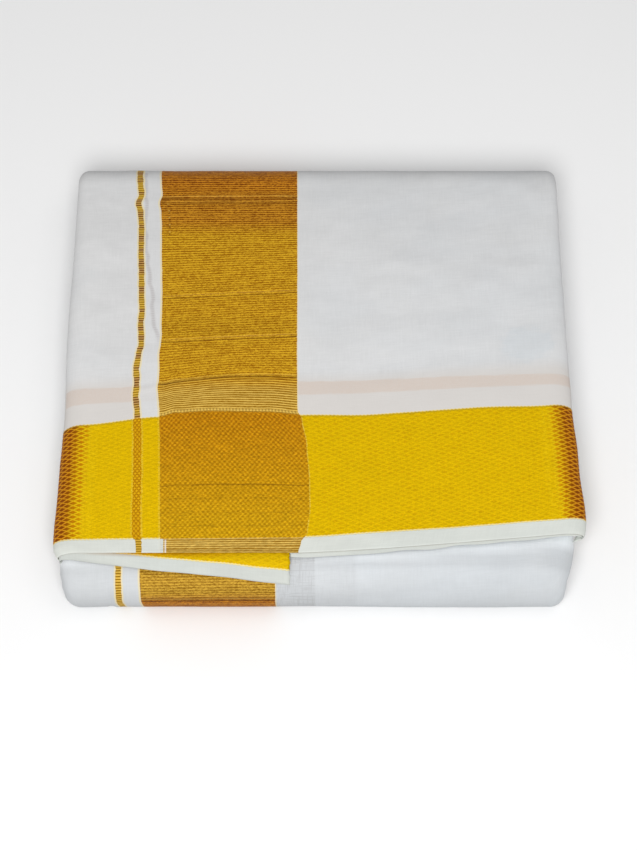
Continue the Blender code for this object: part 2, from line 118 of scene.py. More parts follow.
# Creases of the outer cloth, from (x0, v0) to (x1, v1), x across and v along from the selvedge. A positive lift is a
# ridge and a negative one a trough.
CREASES = (
    # Folds left across the gold band by the first folding, a sharp ridge with a trough in front.
    Crease(-108.0, 268.0, -8.0, 268.5, 1.4, 0.55),
    Crease(-108.0, 264.5, -8.0, 265.0, 2.2, -0.50),
    Crease(-125.0, 262.0, -104.0, 267.0, 2.0, 0.25),
    Crease(-105.0, 189.5, -10.0, 193.5, 1.8, 0.35),
    Crease(-104.0, 186.5, -10.0, 190.0, 2.4, -0.30),
    Crease(-104.0, 156.0, -8.0, 158.0, 1.6, 0.42),
    Crease(-104.0, 152.5, -8.0, 154.5, 2.2, -0.42),
    Crease(-104.0, 118.5, -75.0, 123.0, 1.5, 0.50),
    Crease(-75.0, 123.0, -10.0, 124.0, 1.6, 0.40),
    Crease(-104.0, 121.5, -75.0, 126.0, 1.9, -0.45),
    Crease(-75.0, 126.0, -10.0, 127.0, 2.2, -0.30),
    Crease(-118.0, 115.5, -102.0, 119.5, 1.5, 0.30),
    Crease(-120.0, 118.5, -104.0, 122.0, 1.8, -0.25),
    # Fine creases across the border where the two golds meet.
    Crease(-97.0, 46.5, -10.0, 47.0, 1.1, -0.22),
    Crease(-97.0, 37.0, -12.0, 36.5, 1.1, 0.20),
    Crease(-90.0, 27.5, -14.0, 27.0, 1.1, -0.24),
    Crease(-97.0, 18.5, -12.0, 18.0, 1.1, 0.22),
    # Soft folds in the plain cotton, right and left of the band.
    Crease(10.0, 232.0, 148.0, 168.0, 9.0, 0.45),
    Crease(30.0, 262.0, 150.0, 228.0, 11.0, -0.45),
    Crease(60.0, 150.0, 156.0, 128.0, 7.0, 0.35),
    Crease(-5.0, 120.0, 70.0, 135.0, 8.0, -0.30),
    Crease(95.0, 205.0, 155.0, 200.0, 5.0, 0.35),
    Crease(118.0, 276.0, 154.0, 246.0, 5.5, 0.40),
    Crease(20.0, 190.0, 90.0, 196.0, 7.0, 0.30),
    Crease(-158.0, 236.0, -124.0, 216.0, 6.0, 0.45),
    Crease(-158.0, 176.0, -122.0, 190.0, 6.5, -0.40),
    Crease(-156.0, 148.0, -120.0, 142.0, 4.5, 0.30),
    Crease(-150.0, 268.0, -124.0, 262.0, 4.5, 0.30),
    # Waves of the stiff border.
    Crease(20.0, 4.0, 34.0, 60.0, 10.0, 0.30),
    Crease(78.0, 2.0, 88.0, 66.0, 9.0, -0.35),
    Crease(126.0, 0.0, 128.0, 50.0, 7.0, 0.30),
    Crease(-135.0, 0.0, -138.0, 60.0, 6.0, 0.25),
    # The back fold.
    Crease(-140.0, 300.0, -60.0, 318.0, 6.0, 0.50),
    Crease(-20.0, 322.0, 70.0, 304.0, 7.0, -0.50),
    Crease(60.0, 300.0, 150.0, 312.0, 5.0, 0.45),
    Crease(-150.0, 326.0, -90.0, 330.0, 6.0, -0.40),
    # The front fold: soft dents where the inner layers end.
    Crease(-40.0, 634.0, 60.0, 668.0, 8.0, -0.40),
    Crease(30.0, 640.0, 140.0, 636.0, 6.0, 0.35),
    Crease(70.0, 668.0, 148.0, 662.0, 6.0, -0.35),
    Crease(-150.0, 640.0, -128.0, 668.0, 6.0, 0.40),
    Crease(-127.6, 606.0, -128.6, 690.0, 1.7, -0.60),
    Crease(-125.2, 610.0, -125.8, 690.0, 1.5, 0.30),
    Crease(-21.0, 648.0, -9.0, 632.0, 1.4, -0.30),
    Crease(141.0, 265.0, 150.0, 271.0, 1.6, -0.35),
)

Depth = namedtuple("Depth", "x selvedge border")
# Depth of the selvedge and of the border, across the pack: the cloth lies a little stretched, a little slack.
BORDER_DEPTHS = (
    Depth(-170.0, 9.2, 80.0),
    Depth(-150.0, 9.2, 82.0),
    Depth(-100.0, 9.6, 86.9),
    Depth(-91.0, 9.7, 89.2),
    Depth(-70.0, 9.8, 90.0),
    Depth(-33.0, 10.2, 89.0),
    Depth(-10.0, 10.3, 87.3),
    Depth(34.0, 10.8, 84.6),
    Depth(95.0, 10.2, 84.4),
    Depth(144.0, 10.2, 82.0),
    Depth(175.0, 10.2, 80.0),
)
SELVEDGE = 10.0
BORDER = 86.0

Bands = namedtuple("Bands", "v stripe band_left band_right")
# Where the thin stripe's middle and the band's two edges lie across the pack, along the cloth from the selvedge:
# they wander as the folds shift them.
BANDS = (
    Bands(0.0, -110.8, -97.6, -13.4),
    Bands(7.0, -111.1, -97.8, -11.8),
    Bands(13.0, -113.0, -98.0, -8.2),
    Bands(30.0, -113.5, -98.6, -6.6),
    Bands(50.0, -113.6, -99.2, -6.9),
    Bands(75.0, -114.2, -100.0, -8.6),
    Bands(94.0, -115.0, -100.9, -11.6),
    Bands(101.0, -115.2, -101.1, -14.3),
    Bands(106.0, -115.9, -101.6, -14.4),
    Bands(112.0, -116.7, -102.2, -14.5),
    Bands(118.0, -116.2, -102.8, -14.6),
    Bands(124.0, -116.3, -102.2, -14.6),
    Bands(132.0, -117.0, -102.0, -14.7),
    Bands(143.0, -115.8, -102.6, -14.8),
    Bands(151.0, -114.3, -101.8, -14.8),
    Bands(158.0, -114.5, -101.3, -14.8),
    Bands(166.0, -115.2, -101.8, -14.8),
    Bands(177.0, -114.7, -101.8, -14.8),
    Bands(190.0, -115.5, -102.0, -14.8),
    Bands(205.0, -116.0, -102.6, -14.8),
    Bands(224.0, -116.9, -103.4, -14.9),
    Bands(243.0, -117.3, -103.9, -15.0),
    Bands(255.0, -118.3, -104.6, -15.1),
    Bands(263.0, -120.0, -105.8, -15.1),
    Bands(270.0, -118.2, -104.2, -15.1),
    Bands(279.0, -119.3, -105.0, -15.2),
    Bands(288.0, -119.9, -105.6, -15.3),
    Bands(345.0, -120.6, -106.5, -18.0),
    Bands(560.0, -122.2, -108.3, -26.0),
    Bands(636.0, -119.6, -107.6, -27.2),
    Bands(648.0, -121.4, -108.6, -27.4),
    Bands(660.0, -123.4, -110.0, -27.6),
    Bands(680.0, -123.9, -110.8, -27.8),
    Bands(740.0, -124.0, -111.0, -28.0),
)
# Under layers and inner layers lie this far across in the weave, clear of the band and stripe.
UNDER_SHIFT = 400.0
STRIPE_AT = -115.0
STRIPE_WIDTH = 3.5
STRIPE_WIDTH_IN_BORDER = 4.8
BAND_FROM = -102.0
BAND_TO = -13.0
# The front fold along the cloth: where it starts, where its painted shade is full and where it ends.
FRONT_FROM = 600.0
FRONT_FULL = 645.0
FRONT_TO = 700.0

Tone = namedtuple("Tone", "v shade")
# The band's pair of colours along the cloth, one pair shading into the next.
BAND_TONES = (
    Tone(0.0, "pale"), Tone(112.0, "pale"), Tone(124.0, "gold"), Tone(236.0, "gold"), Tone(247.0, "brown"),
    Tone(264.0, "brown"), Tone(280.0, "umber"), Tone(345.0, "umber"), Tone(400.0, "brown"), Tone(640.0, "umber"),
    Tone(658.0, "umber"), Tone(665.0, "front"), Tone(682.0, "front"), Tone(740.0, "gold"),
)

Line = namedtuple("Line", "v strength")
# Creases painted as shade and highlight straight across the band, and finer ones of painted shade where it crosses the
# border.
BAND_CREASES = (
    Line(266.2, 0.60), Line(262.5, 0.30), Line(188.0, 0.40), Line(154.0, 0.50), Line(123.7, 0.60),
    Line(660.5, 0.55), Line(658.3, 0.75), Line(652.5, 0.35), Line(648.0, 0.45),
)
CROSSING_CREASES = (Line(46.0, 0.5), Line(36.6, 0.2), Line(27.2, 0.16), Line(18.2, 0.24))

Reach = namedtuple("Reach", "x out start selvedge")
# How far each under layer comes out in front of the flap's edge, the angle in degrees at which it starts down and the
# depth of its selvedge, across the pack.
LEFT_REACH = (
    Reach(-162.0, 2.6, 76.0, 8.6),
    Reach(-151.0, 5.8, 66.0, 8.6),
    Reach(-128.0, 8.0, 44.0, 8.4),
    Reach(-105.0, 10.3, 24.0, 8.0),
    Reach(-60.0, 14.8, 14.0, 8.2),
    Reach(-18.0, 20.4, 10.0, 9.2),
)
RIGHT_REACH = (
    Reach(-19.0, 2.8, 30.0, 10.0),
    Reach(20.0, 2.6, 30.0, 10.0),
    Reach(75.0, 1.7, 30.0, 10.0),
    Reach(110.0, 1.4, 30.0, 10.0),
    Reach(150.0, 1.2, 40.0, 10.0),
    Reach(162.0, 0.8, 50.0, 10.0),
)
# The left layer ends here, cut, and the right one starts just beside it.
CUT_END = -18.6
CUT_GAP = 0.35
# How fast an under layer turns down, and how far it runs on inside the pack, out of sight.
DROOP_BEND = math.radians(2.256) / MM
HIDDEN = 78.0 * MM
HIDDEN_ROWS = 34
SHOWN_ROWS = 14
# Under layers are duller by the first share, and by the second as well in the deepest shade. It lies next to the
# flap's edge, over this share of the cloth that shows, with these strengths at these places across the pack.
DULLER = 0.16
SHADE = 0.30
SHADE_DEPTH = 0.30
SHADE_X = (-148.0, -120.0, -85.0, -40.0)
SHADE_SHARES = (0.2, 0.9, 1.0, 0.25)

# The front fold puffs up in front of the flap, from the cut end to the right: how high, from which stage on, how far
# in under the flap and over what run it falls again there, and where it rises and falls across the pack, in mm.
PUFF = 5.2 * MM
PUFF_FROM = 3.5
PUFF_BEHIND = 6.5 * MM
PUFF_FALL = 5.5 * MM
PUFF_LEFT = -42.0
PUFF_LEFT_RUN = 46.0
PUFF_RIGHT = 132.0
PUFF_RIGHT_RUN = 22.0
# Painted light: the fold just below the flap is made lighter, from full at the first distance in mm to none.
GLOW = 0.47
GLOW_FROM = 1.0
GLOW_RUN = 8.0
# The front edge of the top face has finer steps. The sheets' sides round in this much, in so many columns.
FINE_EDGE = 10 * MM
SIDE_ROUNDING = 15 * MM
CURL_COLUMNS = 13
UNDER_CURL_COLUMNS = 6
# Between these stages the cloth lies on the ground and stays flat, and below the middle of the back fold no crease
# stands out further than this.
FLAT_FROM = 1.92
FLAT_TO = 3.06
LOWEST_LIFT = 0.6 * MM

Ruffle = namedtuple("Ruffle", "height size seed")
# Small waves all over the outer cloth and the under layers: height and size in mm.
OUTER_RUFFLES = (Ruffle(0.16, 31.0, 1.0), Ruffle(0.05, 11.0, 2.0))
UNDER_RUFFLES = (Ruffle(0.18, 26.0, 3.0), Ruffle(0.08, 9.0, 4.0))
# The uneven edge of a selvedge, as a share of each layer's own unevenness, and the frayed cut end of a layer: height
# in mm and how fast it waves from row to row.
SELVEDGE_RUFFLE = Ruffle(1.0, 24.0, 5.0)
FRAYS = ((0.28, 2.1), (0.2, 5.3))

# The inner layers: how deep the cloth over them reaches, half the gap between two passes, and how the slit that the
# tuck leaves widens towards the back.
COVER = 2.0 * MM
UNDER_COVER = 2.4 * MM
HALF_GAP = 0.2 * MM
SLIT_GAP = 0.3 * MM
SLIT_WIDENING = 0.6 * MM
# Where the strip of inner layers starts and ends, behind the flap's edge.
INNER_START = 3.0 * MM
INNER_END = 9.0 * MM
# How far a fold's edge is drawn in by its rounding and by its unevenness, and how far it steps out at the strip's two
# ends, in mm.
FOLD_ROUND = 1.15
FOLD_UNEVEN = 0.45
END_ROUND = 1.2
END_UNEVEN = 0.5
# Points across a face of a section, and points down a side, as shares of one fold.
FACE_COLUMNS = 22
FOLD_SHAPE = np.array([0.0, 0.07, 0.2, 0.36, 0.5, 0.64, 0.8, 0.93])

Station = namedtuple("Station", "outer inner stage cover outer_depth inner_depth on_top")
# One section of the strip of inner layers: (y, z) of its outer and inner face, its stage, how deep the cloth over
# it reaches, how deep its own faces lie, and its stage on the top face.

Light = namedtuple("Light", "name place aim size power")
# Soft round lights, in metres and watts.
LIGHTS = (
    Light("key", (-0.08, -1.15, 1.45), (0.0, 0.0, 0.02), 0.9, 24.8),
    Light("fill", (0.6, -0.2, 1.9), (0.0, 0.0, 0.02), 1.2, 3.0),
)
WORLD_STRENGTH = 0.42
BOARD_SIZE = 6.0
SENSOR = 36.0
LENS = 113.5
CAMERA_AIM = (-1.05 * MM, -49.0 * MM, 45.0 * MM)
CAMERA_DISTANCE = 1681.0 * MM
CAMERA_ANGLE = math.radians(59.0)


def hex_colour(code):
    """An sRGB hex colour as linear values."""
    values = [int(code[k:k + 2], 16) / 255 for k in (1, 3, 5)]
    return tuple(c / 12.92 if c <= 0.04045 else ((c + 0.055) / 1.055) ** 2.4 for c in values)


def paint(code):
    return (*hex_colour(code), 1.0)


# --- the form of the folded cloth ---------------------------------------------------------------------------------

def looked_up(rows, column, at):
    """A table's first column, this column, the row before each of these values, the step to the next, and the share
    of it.
    """
    knots = np.array([row[0] for row in rows])
    values = np.array([getattr(row, column) for row in rows])
    low = np.clip(np.searchsorted(knots, at, side="right") - 1, 0, len(rows) - 2)
    step = knots[low + 1] - knots[low]
    return knots, values, low, step, np.clip((at - knots[low]) / step, 0, 1)


def eased(rows, column, at):
    """One column of a table at these values of its first column, eased between the rows on each side."""
    _, values, low, _, share = looked_up(rows, column, at)
    return values[low] + (values[low + 1] - values[low]) * share * share * (3 - 2 * share)


def flowing(rows, column, at):
    """One column of a table at these values of its first column, on a smooth curve through the rows."""
    knots, values, low, step, share = looked_up(rows, column, at)
    slopes = np.gradient(values, knots)
    near, far = (1 - share) ** 2, share ** 2
    return (values[low] * near * (1 + 2 * share) + values[low + 1] * far * (3 - 2 * share)
            + step * share * (1 - share) * (slopes[low] * (1 - share) - slopes[low + 1] * share))


def slit(y):
    """The height of the slit between the upper and the lower half of the pack."""
    return FRONT_HEIGHT + (BACK_RADIUS - FRONT_HEIGHT) * (y - FRONT_AXIS) / UNDER_RUN


def setback(x):
    """How far back the flap's edge lies, which runs askew on the right."""
    share = np.maximum(0.0, (x - SKEW_FROM_X) / (HALF_WIDTH - SKEW_FROM_X))
    return SKEW * share ** 1.25


def swell(x, y):
    """How far the swells lift the top face."""
    lift = np.zeros(np.broadcast(x, y).shape)
    for s in SWELLS:
        away = ((x / MM - s.x) / s.reach_x) ** 2 + ((y / MM - s.y) / s.reach_y) ** 2
        lift += s.lift * MM * np.exp(-away)
    return lift


def puff(x, y, stage):
    """How far the front fold's top is puffed up, in front of the flap's edge."""
    rise = np.clip((stage - PUFF_FROM) / 0.5, 0, 1)
    fall = np.clip((FLAP_EDGE + setback(x) + PUFF_BEHIND - y) / PUFF_FALL, 0, 1)
    over = np.clip((x / MM - PUFF_LEFT) / PUFF_LEFT_RUN, 0, 1)
    over = over * (1 - 0.8 * np.clip((x / MM - PUFF_RIGHT) / PUFF_RIGHT_RUN, 0, 1))
    rise, fall, over = (a * a * (3 - 2 * a) for a in (rise, fall, over))
    return PUFF * rise * fall * over


def outline(stage):
    """y and z of the strip's outer face at these stages."""
    top_y = FLAP_EDGE + TOP_RUN * stage
    top_z = FLAP_TOP + (2 * BACK_RADIUS - FLAP_TOP) * stage + TOP_CROWN * np.sin(math.pi * np.clip(stage, 0, 1))
    back = math.pi * (stage - 1)
    front = math.pi * (stage - 3)
    tuck_y = FRONT_AXIS + TUCK_LENGTH * (stage - 4)
    legs = [stage <= 1, stage <= 2, stage <= 3, stage <= 4]
    y = np.select(legs, [top_y, BACK_AXIS + BACK_RADIUS * np.sin(back), BACK_AXIS - UNDER_RUN * (stage - 2),
                         FRONT_AXIS - FRONT_BULGE * np.sin(front)], tuck_y)
    z = np.select(legs, [top_z, BACK_RADIUS * (1 + np.cos(back)), 0.0 * stage,
                         FRONT_HEIGHT / 2 * (1 - np.cos(front))], slit(tuck_y))
    return y, z


def inward(stage):
    """The direction in the YZ plane from the outer face into the pack."""
    y0, z0 = outline(np.maximum(0.0, stage - 1e-3))
    y1, z1 = outline(np.minimum(5.0, stage + 1e-3))
    length = np.hypot(y1 - y0, z1 - z0)
    return (z1 - z0) / length, (y0 - y1) / length


def lay(stage, x, depth):
    """Points this far along and across the pack, this deep below its outer face."""
    y, z = outline(stage)
    in_y, in_z = inward(stage)
    on_top = np.clip(1 - stage, 0, 1)
    y = y + setback(x) * on_top
    z = z + swell(x, y) * np.minimum(1.0, 4 * on_top) + puff(x, y, stage)
    return np.stack([x + 0 * y, y + in_y * depth, z + in_z * depth], axis=-1)


def across(stage, depth, columns, curl_columns, flat_to=(None, None), turns=(None, None)):
    """x, depth and rounding of a row of points across the pack at each of these stages, a row for each stage.
    Rounding is how far past the start of the rounded side a point lies, in mm, and is negative on the flat.
    flat_to ends the flat at an x instead of rounding the side, and turns ends the rounding at this angle.
    """
    stage = stage[:, None]
    round_in = eased(SIDES, "round_in", stage) * MM
    rows = []
    ends = []
    for sign, name in ((-1, "left"), (1, "right")):
        half = eased(SIDES, name, stage) * MM
        drop = eased(SIDES, "drop_" + name, stage) * MM
        limit = turns[(sign + 1) // 2]
        wrap = np.radians(eased(SIDES, "wrap_" + name, stage)) if limit is None else limit + 0 * stage
        turn = wrap * np.arange(curl_columns, 0, -1) / curl_columns
        x = sign * (half - round_in + (round_in - depth) * np.sin(turn))
        below = drop - (drop - depth) * np.cos(turn)
        rows.append((x, below, (round_in + drop - 2 * depth) / 2 * turn / MM))
        ends.append(sign * (half - round_in))
    left, right = [end if to is None else to * MM + 0 * end for end, to in zip(ends, flat_to)]
    share = np.linspace(0, 1, columns)[None, :]
    flat_x = left + (right - left) * share
    flat = (flat_x, depth + 0 * flat_x, np.maximum(ends[0] - flat_x, flat_x - ends[1]) / MM)
    parts = [flat]
    if flat_to[0] is None:
        parts.insert(0, rows[0])
    if flat_to[1] is None:
        parts.append(tuple(a[:, ::-1] for a in rows[1]))
    return [np.concatenate([part[k] for part in parts], axis=1) for k in range(3)]


def walked(points, axis):
    """How far along this axis of the grid each point lies, walking from the first."""
    steps = np.linalg.norm(np.diff(points, axis=axis), axis=-1)
    start = np.zeros_like(np.take(steps, [0], axis=axis))
    return np.concatenate([start, np.cumsum(steps, axis=axis)], axis=axis)


def outward(points):
    """Unit normals of a grid of points, out of the pack."""
    along = np.gradient(points, axis=0)
    over = np.gradient(points, axis=1)
    normal = np.cross(over, along)
    return normal / np.maximum(1e-12, np.linalg.norm(normal, axis=-1, keepdims=True))


def creased(x, v, scale):
    """How far, in metres, the creases lift the cloth at x and v, both in mm."""
    lift = np.zeros(x.shape)
    for c in CREASES:
        run = np.array([c.x1 - c.x0, c.v1 - c.v0])
        length = float(np.hypot(*run))
        share = ((x - c.x0) * run[0] + (v - c.v0) * run[1]) / length ** 2
        beside = ((x - c.x0) * -run[1] + (v - c.v0) * run[0]) / length
        fade = np.clip(share * 4, 0, 1) * np.clip((1 - share) * 4, 0, 1)
        wander = 0.35 * c.width * np.sin(share * 7.0 + c.x0)
        profile = np.exp(-((beside - wander) / c.width) ** 2)
        lift += c.lift * profile * fade * fade * (3 - 2 * fade)
    return lift * MM * scale


def ruffled(x, v, ruffle):
    """A smooth, uneven wave of this height, from crest to crest about as long as the ruffle's size."""
    total = np.zeros(x.shape)
    for k in range(5):
        angle = ruffle.seed * 1.7 + k * 2.4
        pitch = ruffle.size * (0.7 + 0.23 * k)
        total += np.sin(2 * math.pi * (x * math.cos(angle) + v * math.sin(angle)) / pitch + ruffle.seed * (k + 1))
    return ruffle.height * (total / 5)


def cloth_v(x, v):
    """Distance along the cloth as woven, from distance along the pack: the border is fitted to where it lies."""
    selvedge = eased(BORDER_DEPTHS, "selvedge", x)
    border = eased(BORDER_DEPTHS, "border", x)
    past = v - selvedge
    shift = SELVEDGE + BORDER - selvedge - border
    share = np.clip((past - border) / 60.0, 0, 1)
    return np.where(v < selvedge, v * SELVEDGE / selvedge,
                    np.where(past < border, SELVEDGE + past * BORDER / border,
                             v + shift * (1 - share * share * (3 - 2 * share))))


def cloth_u(x, v):
    """Distance across the cloth as woven: the stripe and the band are fitted to where they lie."""
    stripe, left, right = (eased(BANDS, name, v) for name in ("stripe", "band_left", "band_right"))
    return np.select(
        [x < stripe, x < left, x < right],
        [x - stripe + STRIPE_AT,
         STRIPE_AT + (x - stripe) * (BAND_FROM - STRIPE_AT) / (left - stripe),
         BAND_FROM + (x - left) * (BAND_TO - BAND_FROM) / (right - left)],
        x - right + BAND_TO)


def cloth_object(name, points, u, v, rounding, material, thickness, paler):
    """A sheet of cloth from a grid of points, thickened inwards, with its woven coordinates in metres as UVs. Its last
    argument holds painted light and shade: the share by which the colour is made lighter, or darker below 0, where
    layers meet.
    """
    rows, columns = points.shape[:2]
    index = np.arange(rows * columns).reshape(rows, columns)
    quads = np.stack([index[:-1, :-1], index[1:, :-1], index[1:, 1:], index[:-1, 1:]], axis=-1).reshape(-1, 4)
    mesh = bpy.data.meshes.new(name)
    mesh.from_pydata(points.reshape(-1, 3).tolist(), [], quads[:, ::-1].tolist())
    woven = mesh.uv_layers.new(name="woven")
    corners = np.empty(len(mesh.loops), dtype=np.int64)
    mesh.loops.foreach_get("vertex_index", corners)
    flat = np.stack([u.reshape(-1), v.reshape(-1)], axis=-1)[corners] * MM
    woven.data.foreach_set("uv", flat.reshape(-1).astype(np.float32))
    sides = mesh.attributes.new("rounding", "FLOAT", "POINT")
    sides.data.foreach_set("value", rounding.reshape(-1).astype(np.float32))
    shaded = mesh.attributes.new("paler", "FLOAT", "POINT")
    shaded.data.foreach_set("value", paler.reshape(-1).astype(np.float32))
    mesh.shade_smooth()
    mesh.materials.append(material)
    cloth = bpy.data.objects.new(name, mesh)
    bpy.context.scene.collection.objects.link(cloth)
    wall = cloth.modifiers.new("cloth", "SOLIDIFY")
    wall.thickness = thickness
    wall.offset = -1.0
    bpy.ops.object.select_all(action="DESELECT")
    bpy.context.view_layer.objects.active = cloth
    cloth.select_set(True)
    bpy.ops.object.modifier_apply(modifier=wall.name)
    cloth.select_set(False)
    return cloth


# --- materials ----------------------------------------------------------------------------------------------------

# Settings that many nodes share. A Mix has different sockets for values and for colours: its share comes first, then
# the two that it mixes. A tint multiplies one colour by the other.
PLUS = {"operation": "ADD"}
MINUS = {"operation": "SUBTRACT"}
TIMES = {"operation": "MULTIPLY"}
OVER = {"operation": "DIVIDE"}
TIMES_PLUS = {"operation": "MULTIPLY_ADD"}
LARGER = {"operation": "MAXIMUM"}
UNSIGNED = {"operation": "ABSOLUTE"}
EASED = {"interpolation_type": "SMOOTHSTEP"}
VALUES = {"sockets": (0, 2, 3)}
BLEND = {"sockets": (0, 6, 7), "out": 2, "data_type": "RGBA"}
TINT = {**BLEND, "blend_type": "MULTIPLY"}


def add(tree, kind, inputs=(), sockets=None, out=0, **settings):
    """Adds a node with its settings, feeds its inputs from values or other outputs, and returns one output. Inputs go
    to the first sockets, to the numbered ones, or to those that a dictionary names.
    """
    node = tree.nodes.new("ShaderNode" + kind)
    for name, value in settings.items():
        setattr(node, name, value)
    if not isinstance(inputs, dict):
        inputs = dict(zip(sockets or range(len(inputs)), inputs))
    for socket, value in inputs.items():
        if isinstance(value, bpy.types.NodeSocket):
            tree.links.new(value, node.inputs[socket])
        else:
            node.inputs[socket].default_value = value
    return node.outputs[out]


def between(node, value, low, high, soft=0.12):
    """1 where the value lies between two limits, 0 outside, with soft edges."""
    above = node("MapRange", (value, low - soft, low + soft, 0.0, 1.0), **EASED)
    below = node("MapRange", (value, high - soft, high + soft, 1.0, 0.0), **EASED)
    return node("Math", (above, below), **TIMES)


def wave(node, value, pitch, shift=0.0):
    """A cosine from -1 to 1 with this pitch in mm."""
    turns = node("Math", (value, 2 * math.pi / pitch, shift), **TIMES_PLUS)
    return node("Math", (turns,), operation="COSINE")


def grain(node, u, v, across_mm, along_mm, detail=2.0):
    """Noise from 0 to 1 with grains this long across and along the cloth."""
    place = node("CombineXYZ", (node("Math", (u, across_mm), **OVER), node("Math", (v, along_mm), **OVER),
                                across_mm + along_mm))
    return node("TexNoise", {"Vector": place, "Scale": 1.0, "Detail": detail, "Roughness": 0.6})


def net(node, u, v, pitch_u, pitch_v):
    """How far inside a cell of a diamond net a place lies: 0 on its lines to 0.5 in the middle of a cell."""
    across_cells = node("Math", (u, pitch_u), **OVER)
    along_cells = node("Math", (v, pitch_v), **OVER)
    rising = node("Math", (node("Math", (across_cells, along_cells), **PLUS), 0.5), operation="PINGPONG")
    falling = node("Math", (node("Math", (across_cells, along_cells), **MINUS), 0.5), operation="PINGPONG")
    return node("Math", (rising, falling), operation="MINIMUM")


def new_material(name, roughness):
    material = bpy.data.materials.new(name)
    material.use_nodes = True
    shader = material.node_tree.nodes["Principled BSDF"]
    shader.inputs["Roughness"].default_value = roughness
    return material, material.node_tree, shader


Cloth = namedtuple("Cloth", "u v rounding x y z slub_across slub_along slubs speckle dash long_dash blotch cloud tint")
# A place on the cloth in mm: across and along it as woven, past the start of the rounded side, and in space. The rest
# is how uneven its thread is there, each noise from 0 to 1, and slubs the sum of both kinds of slub.

Zones = namedtuple("Zones", "v_stepped border selvedge band past_stripe stripe gap")
# How much a place lies in each woven zone, from 0 to 1. v_stepped is how far along it is with the border's stepped
# edge, past_stripe how far beyond the stripe's edge, and gap the plain cotton between stripe and band.


def cloth_places(node):
    """Places on the cloth. Cotton has about 28 threads to the centimetre, too fine to show, so the slubs of groups of
    threads are drawn.
    """
    woven = node("VectorMath", {0: node("UVMap", uv_map="woven"), "Scale": 1 / MM}, operation="SCALE")
    u = node("SeparateXYZ", (woven,))
    v = u.node.outputs[1]
    here = node("VectorMath", {0: node("TexCoord", out=3), "Scale": 1 / MM}, operation="SCALE")
    x = node("SeparateXYZ", (here,))
    y, z = x.node.outputs[1:3]
    slub_across = grain(node, u, v, 12.0, 0.8)
    slub_along = grain(node, u, v, 0.8, 12.0)
    return Cloth(
        u, v, node("Attribute", out=2, attribute_name="rounding"), x, y, z, slub_across, slub_along,
        slubs=node("Math", (slub_across, slub_along), **PLUS),
        speckle=grain(node, u, v, 0.8, 0.6, 1.0),
        dash=grain(node, u, v, 1.7, 0.75, 1.0),
        long_dash=grain(node, u, v, 5.0, 0.9, 1.0),
        blotch=grain(node, u, v, 11.0, 5.0),
        cloud=grain(node, u, v, 46.0, 26.0),
        tint=grain(node, u, v, 70.0, 52.0))


def woven_zones(node, at):
    """Where the zones lie. The border's edges are stepped by the turns of its weft, the others a little frayed."""
    steps = node("Math", (node("Math", (wave(node, at.u, 4.6),), **UNSIGNED), 0.3), **TIMES)
    v_stepped = node("Math", (at.v, steps), **PLUS)
    border = between(node, v_stepped, SELVEDGE + 0.15, SELVEDGE + BORDER + 0.15)
    selvedge = node("MapRange", (at.v, SELVEDGE - 0.1, SELVEDGE + 0.1, 1.0, 0.0), **EASED)
    fray = node("Math", (at.speckle, 0.7, -0.35), **TIMES_PLUS)
    band = between(node, node("Math", (at.u, fray), **PLUS), BAND_FROM, BAND_TO)

    half = node("Math", (border, (STRIPE_WIDTH_IN_BORDER - STRIPE_WIDTH) / 2, STRIPE_WIDTH / 2), **TIMES_PLUS)
    from_middle = node("Math", (node("Math", (at.u, STRIPE_AT), **MINUS),), **UNSIGNED)
    wobble = node("Math", (grain(node, at.u, at.v, 40.0, 5.0, 1.0), 1.0, -0.5), **TIMES_PLUS)
    past_stripe = node("Math", (node("Math", (from_middle, half), **MINUS), wobble), **PLUS)
    fray = node("Math", (at.long_dash, 0.6, -0.3), **TIMES_PLUS)
    stripe = node("MapRange", (node("Math", (past_stripe, fray), **PLUS), -0.12, 0.12, 1.0, 0.0), **EASED)
    gap = between(node, at.u, STRIPE_AT, BAND_FROM)
    return Zones(v_stepped, border, selvedge, band, past_stripe, stripe, gap)


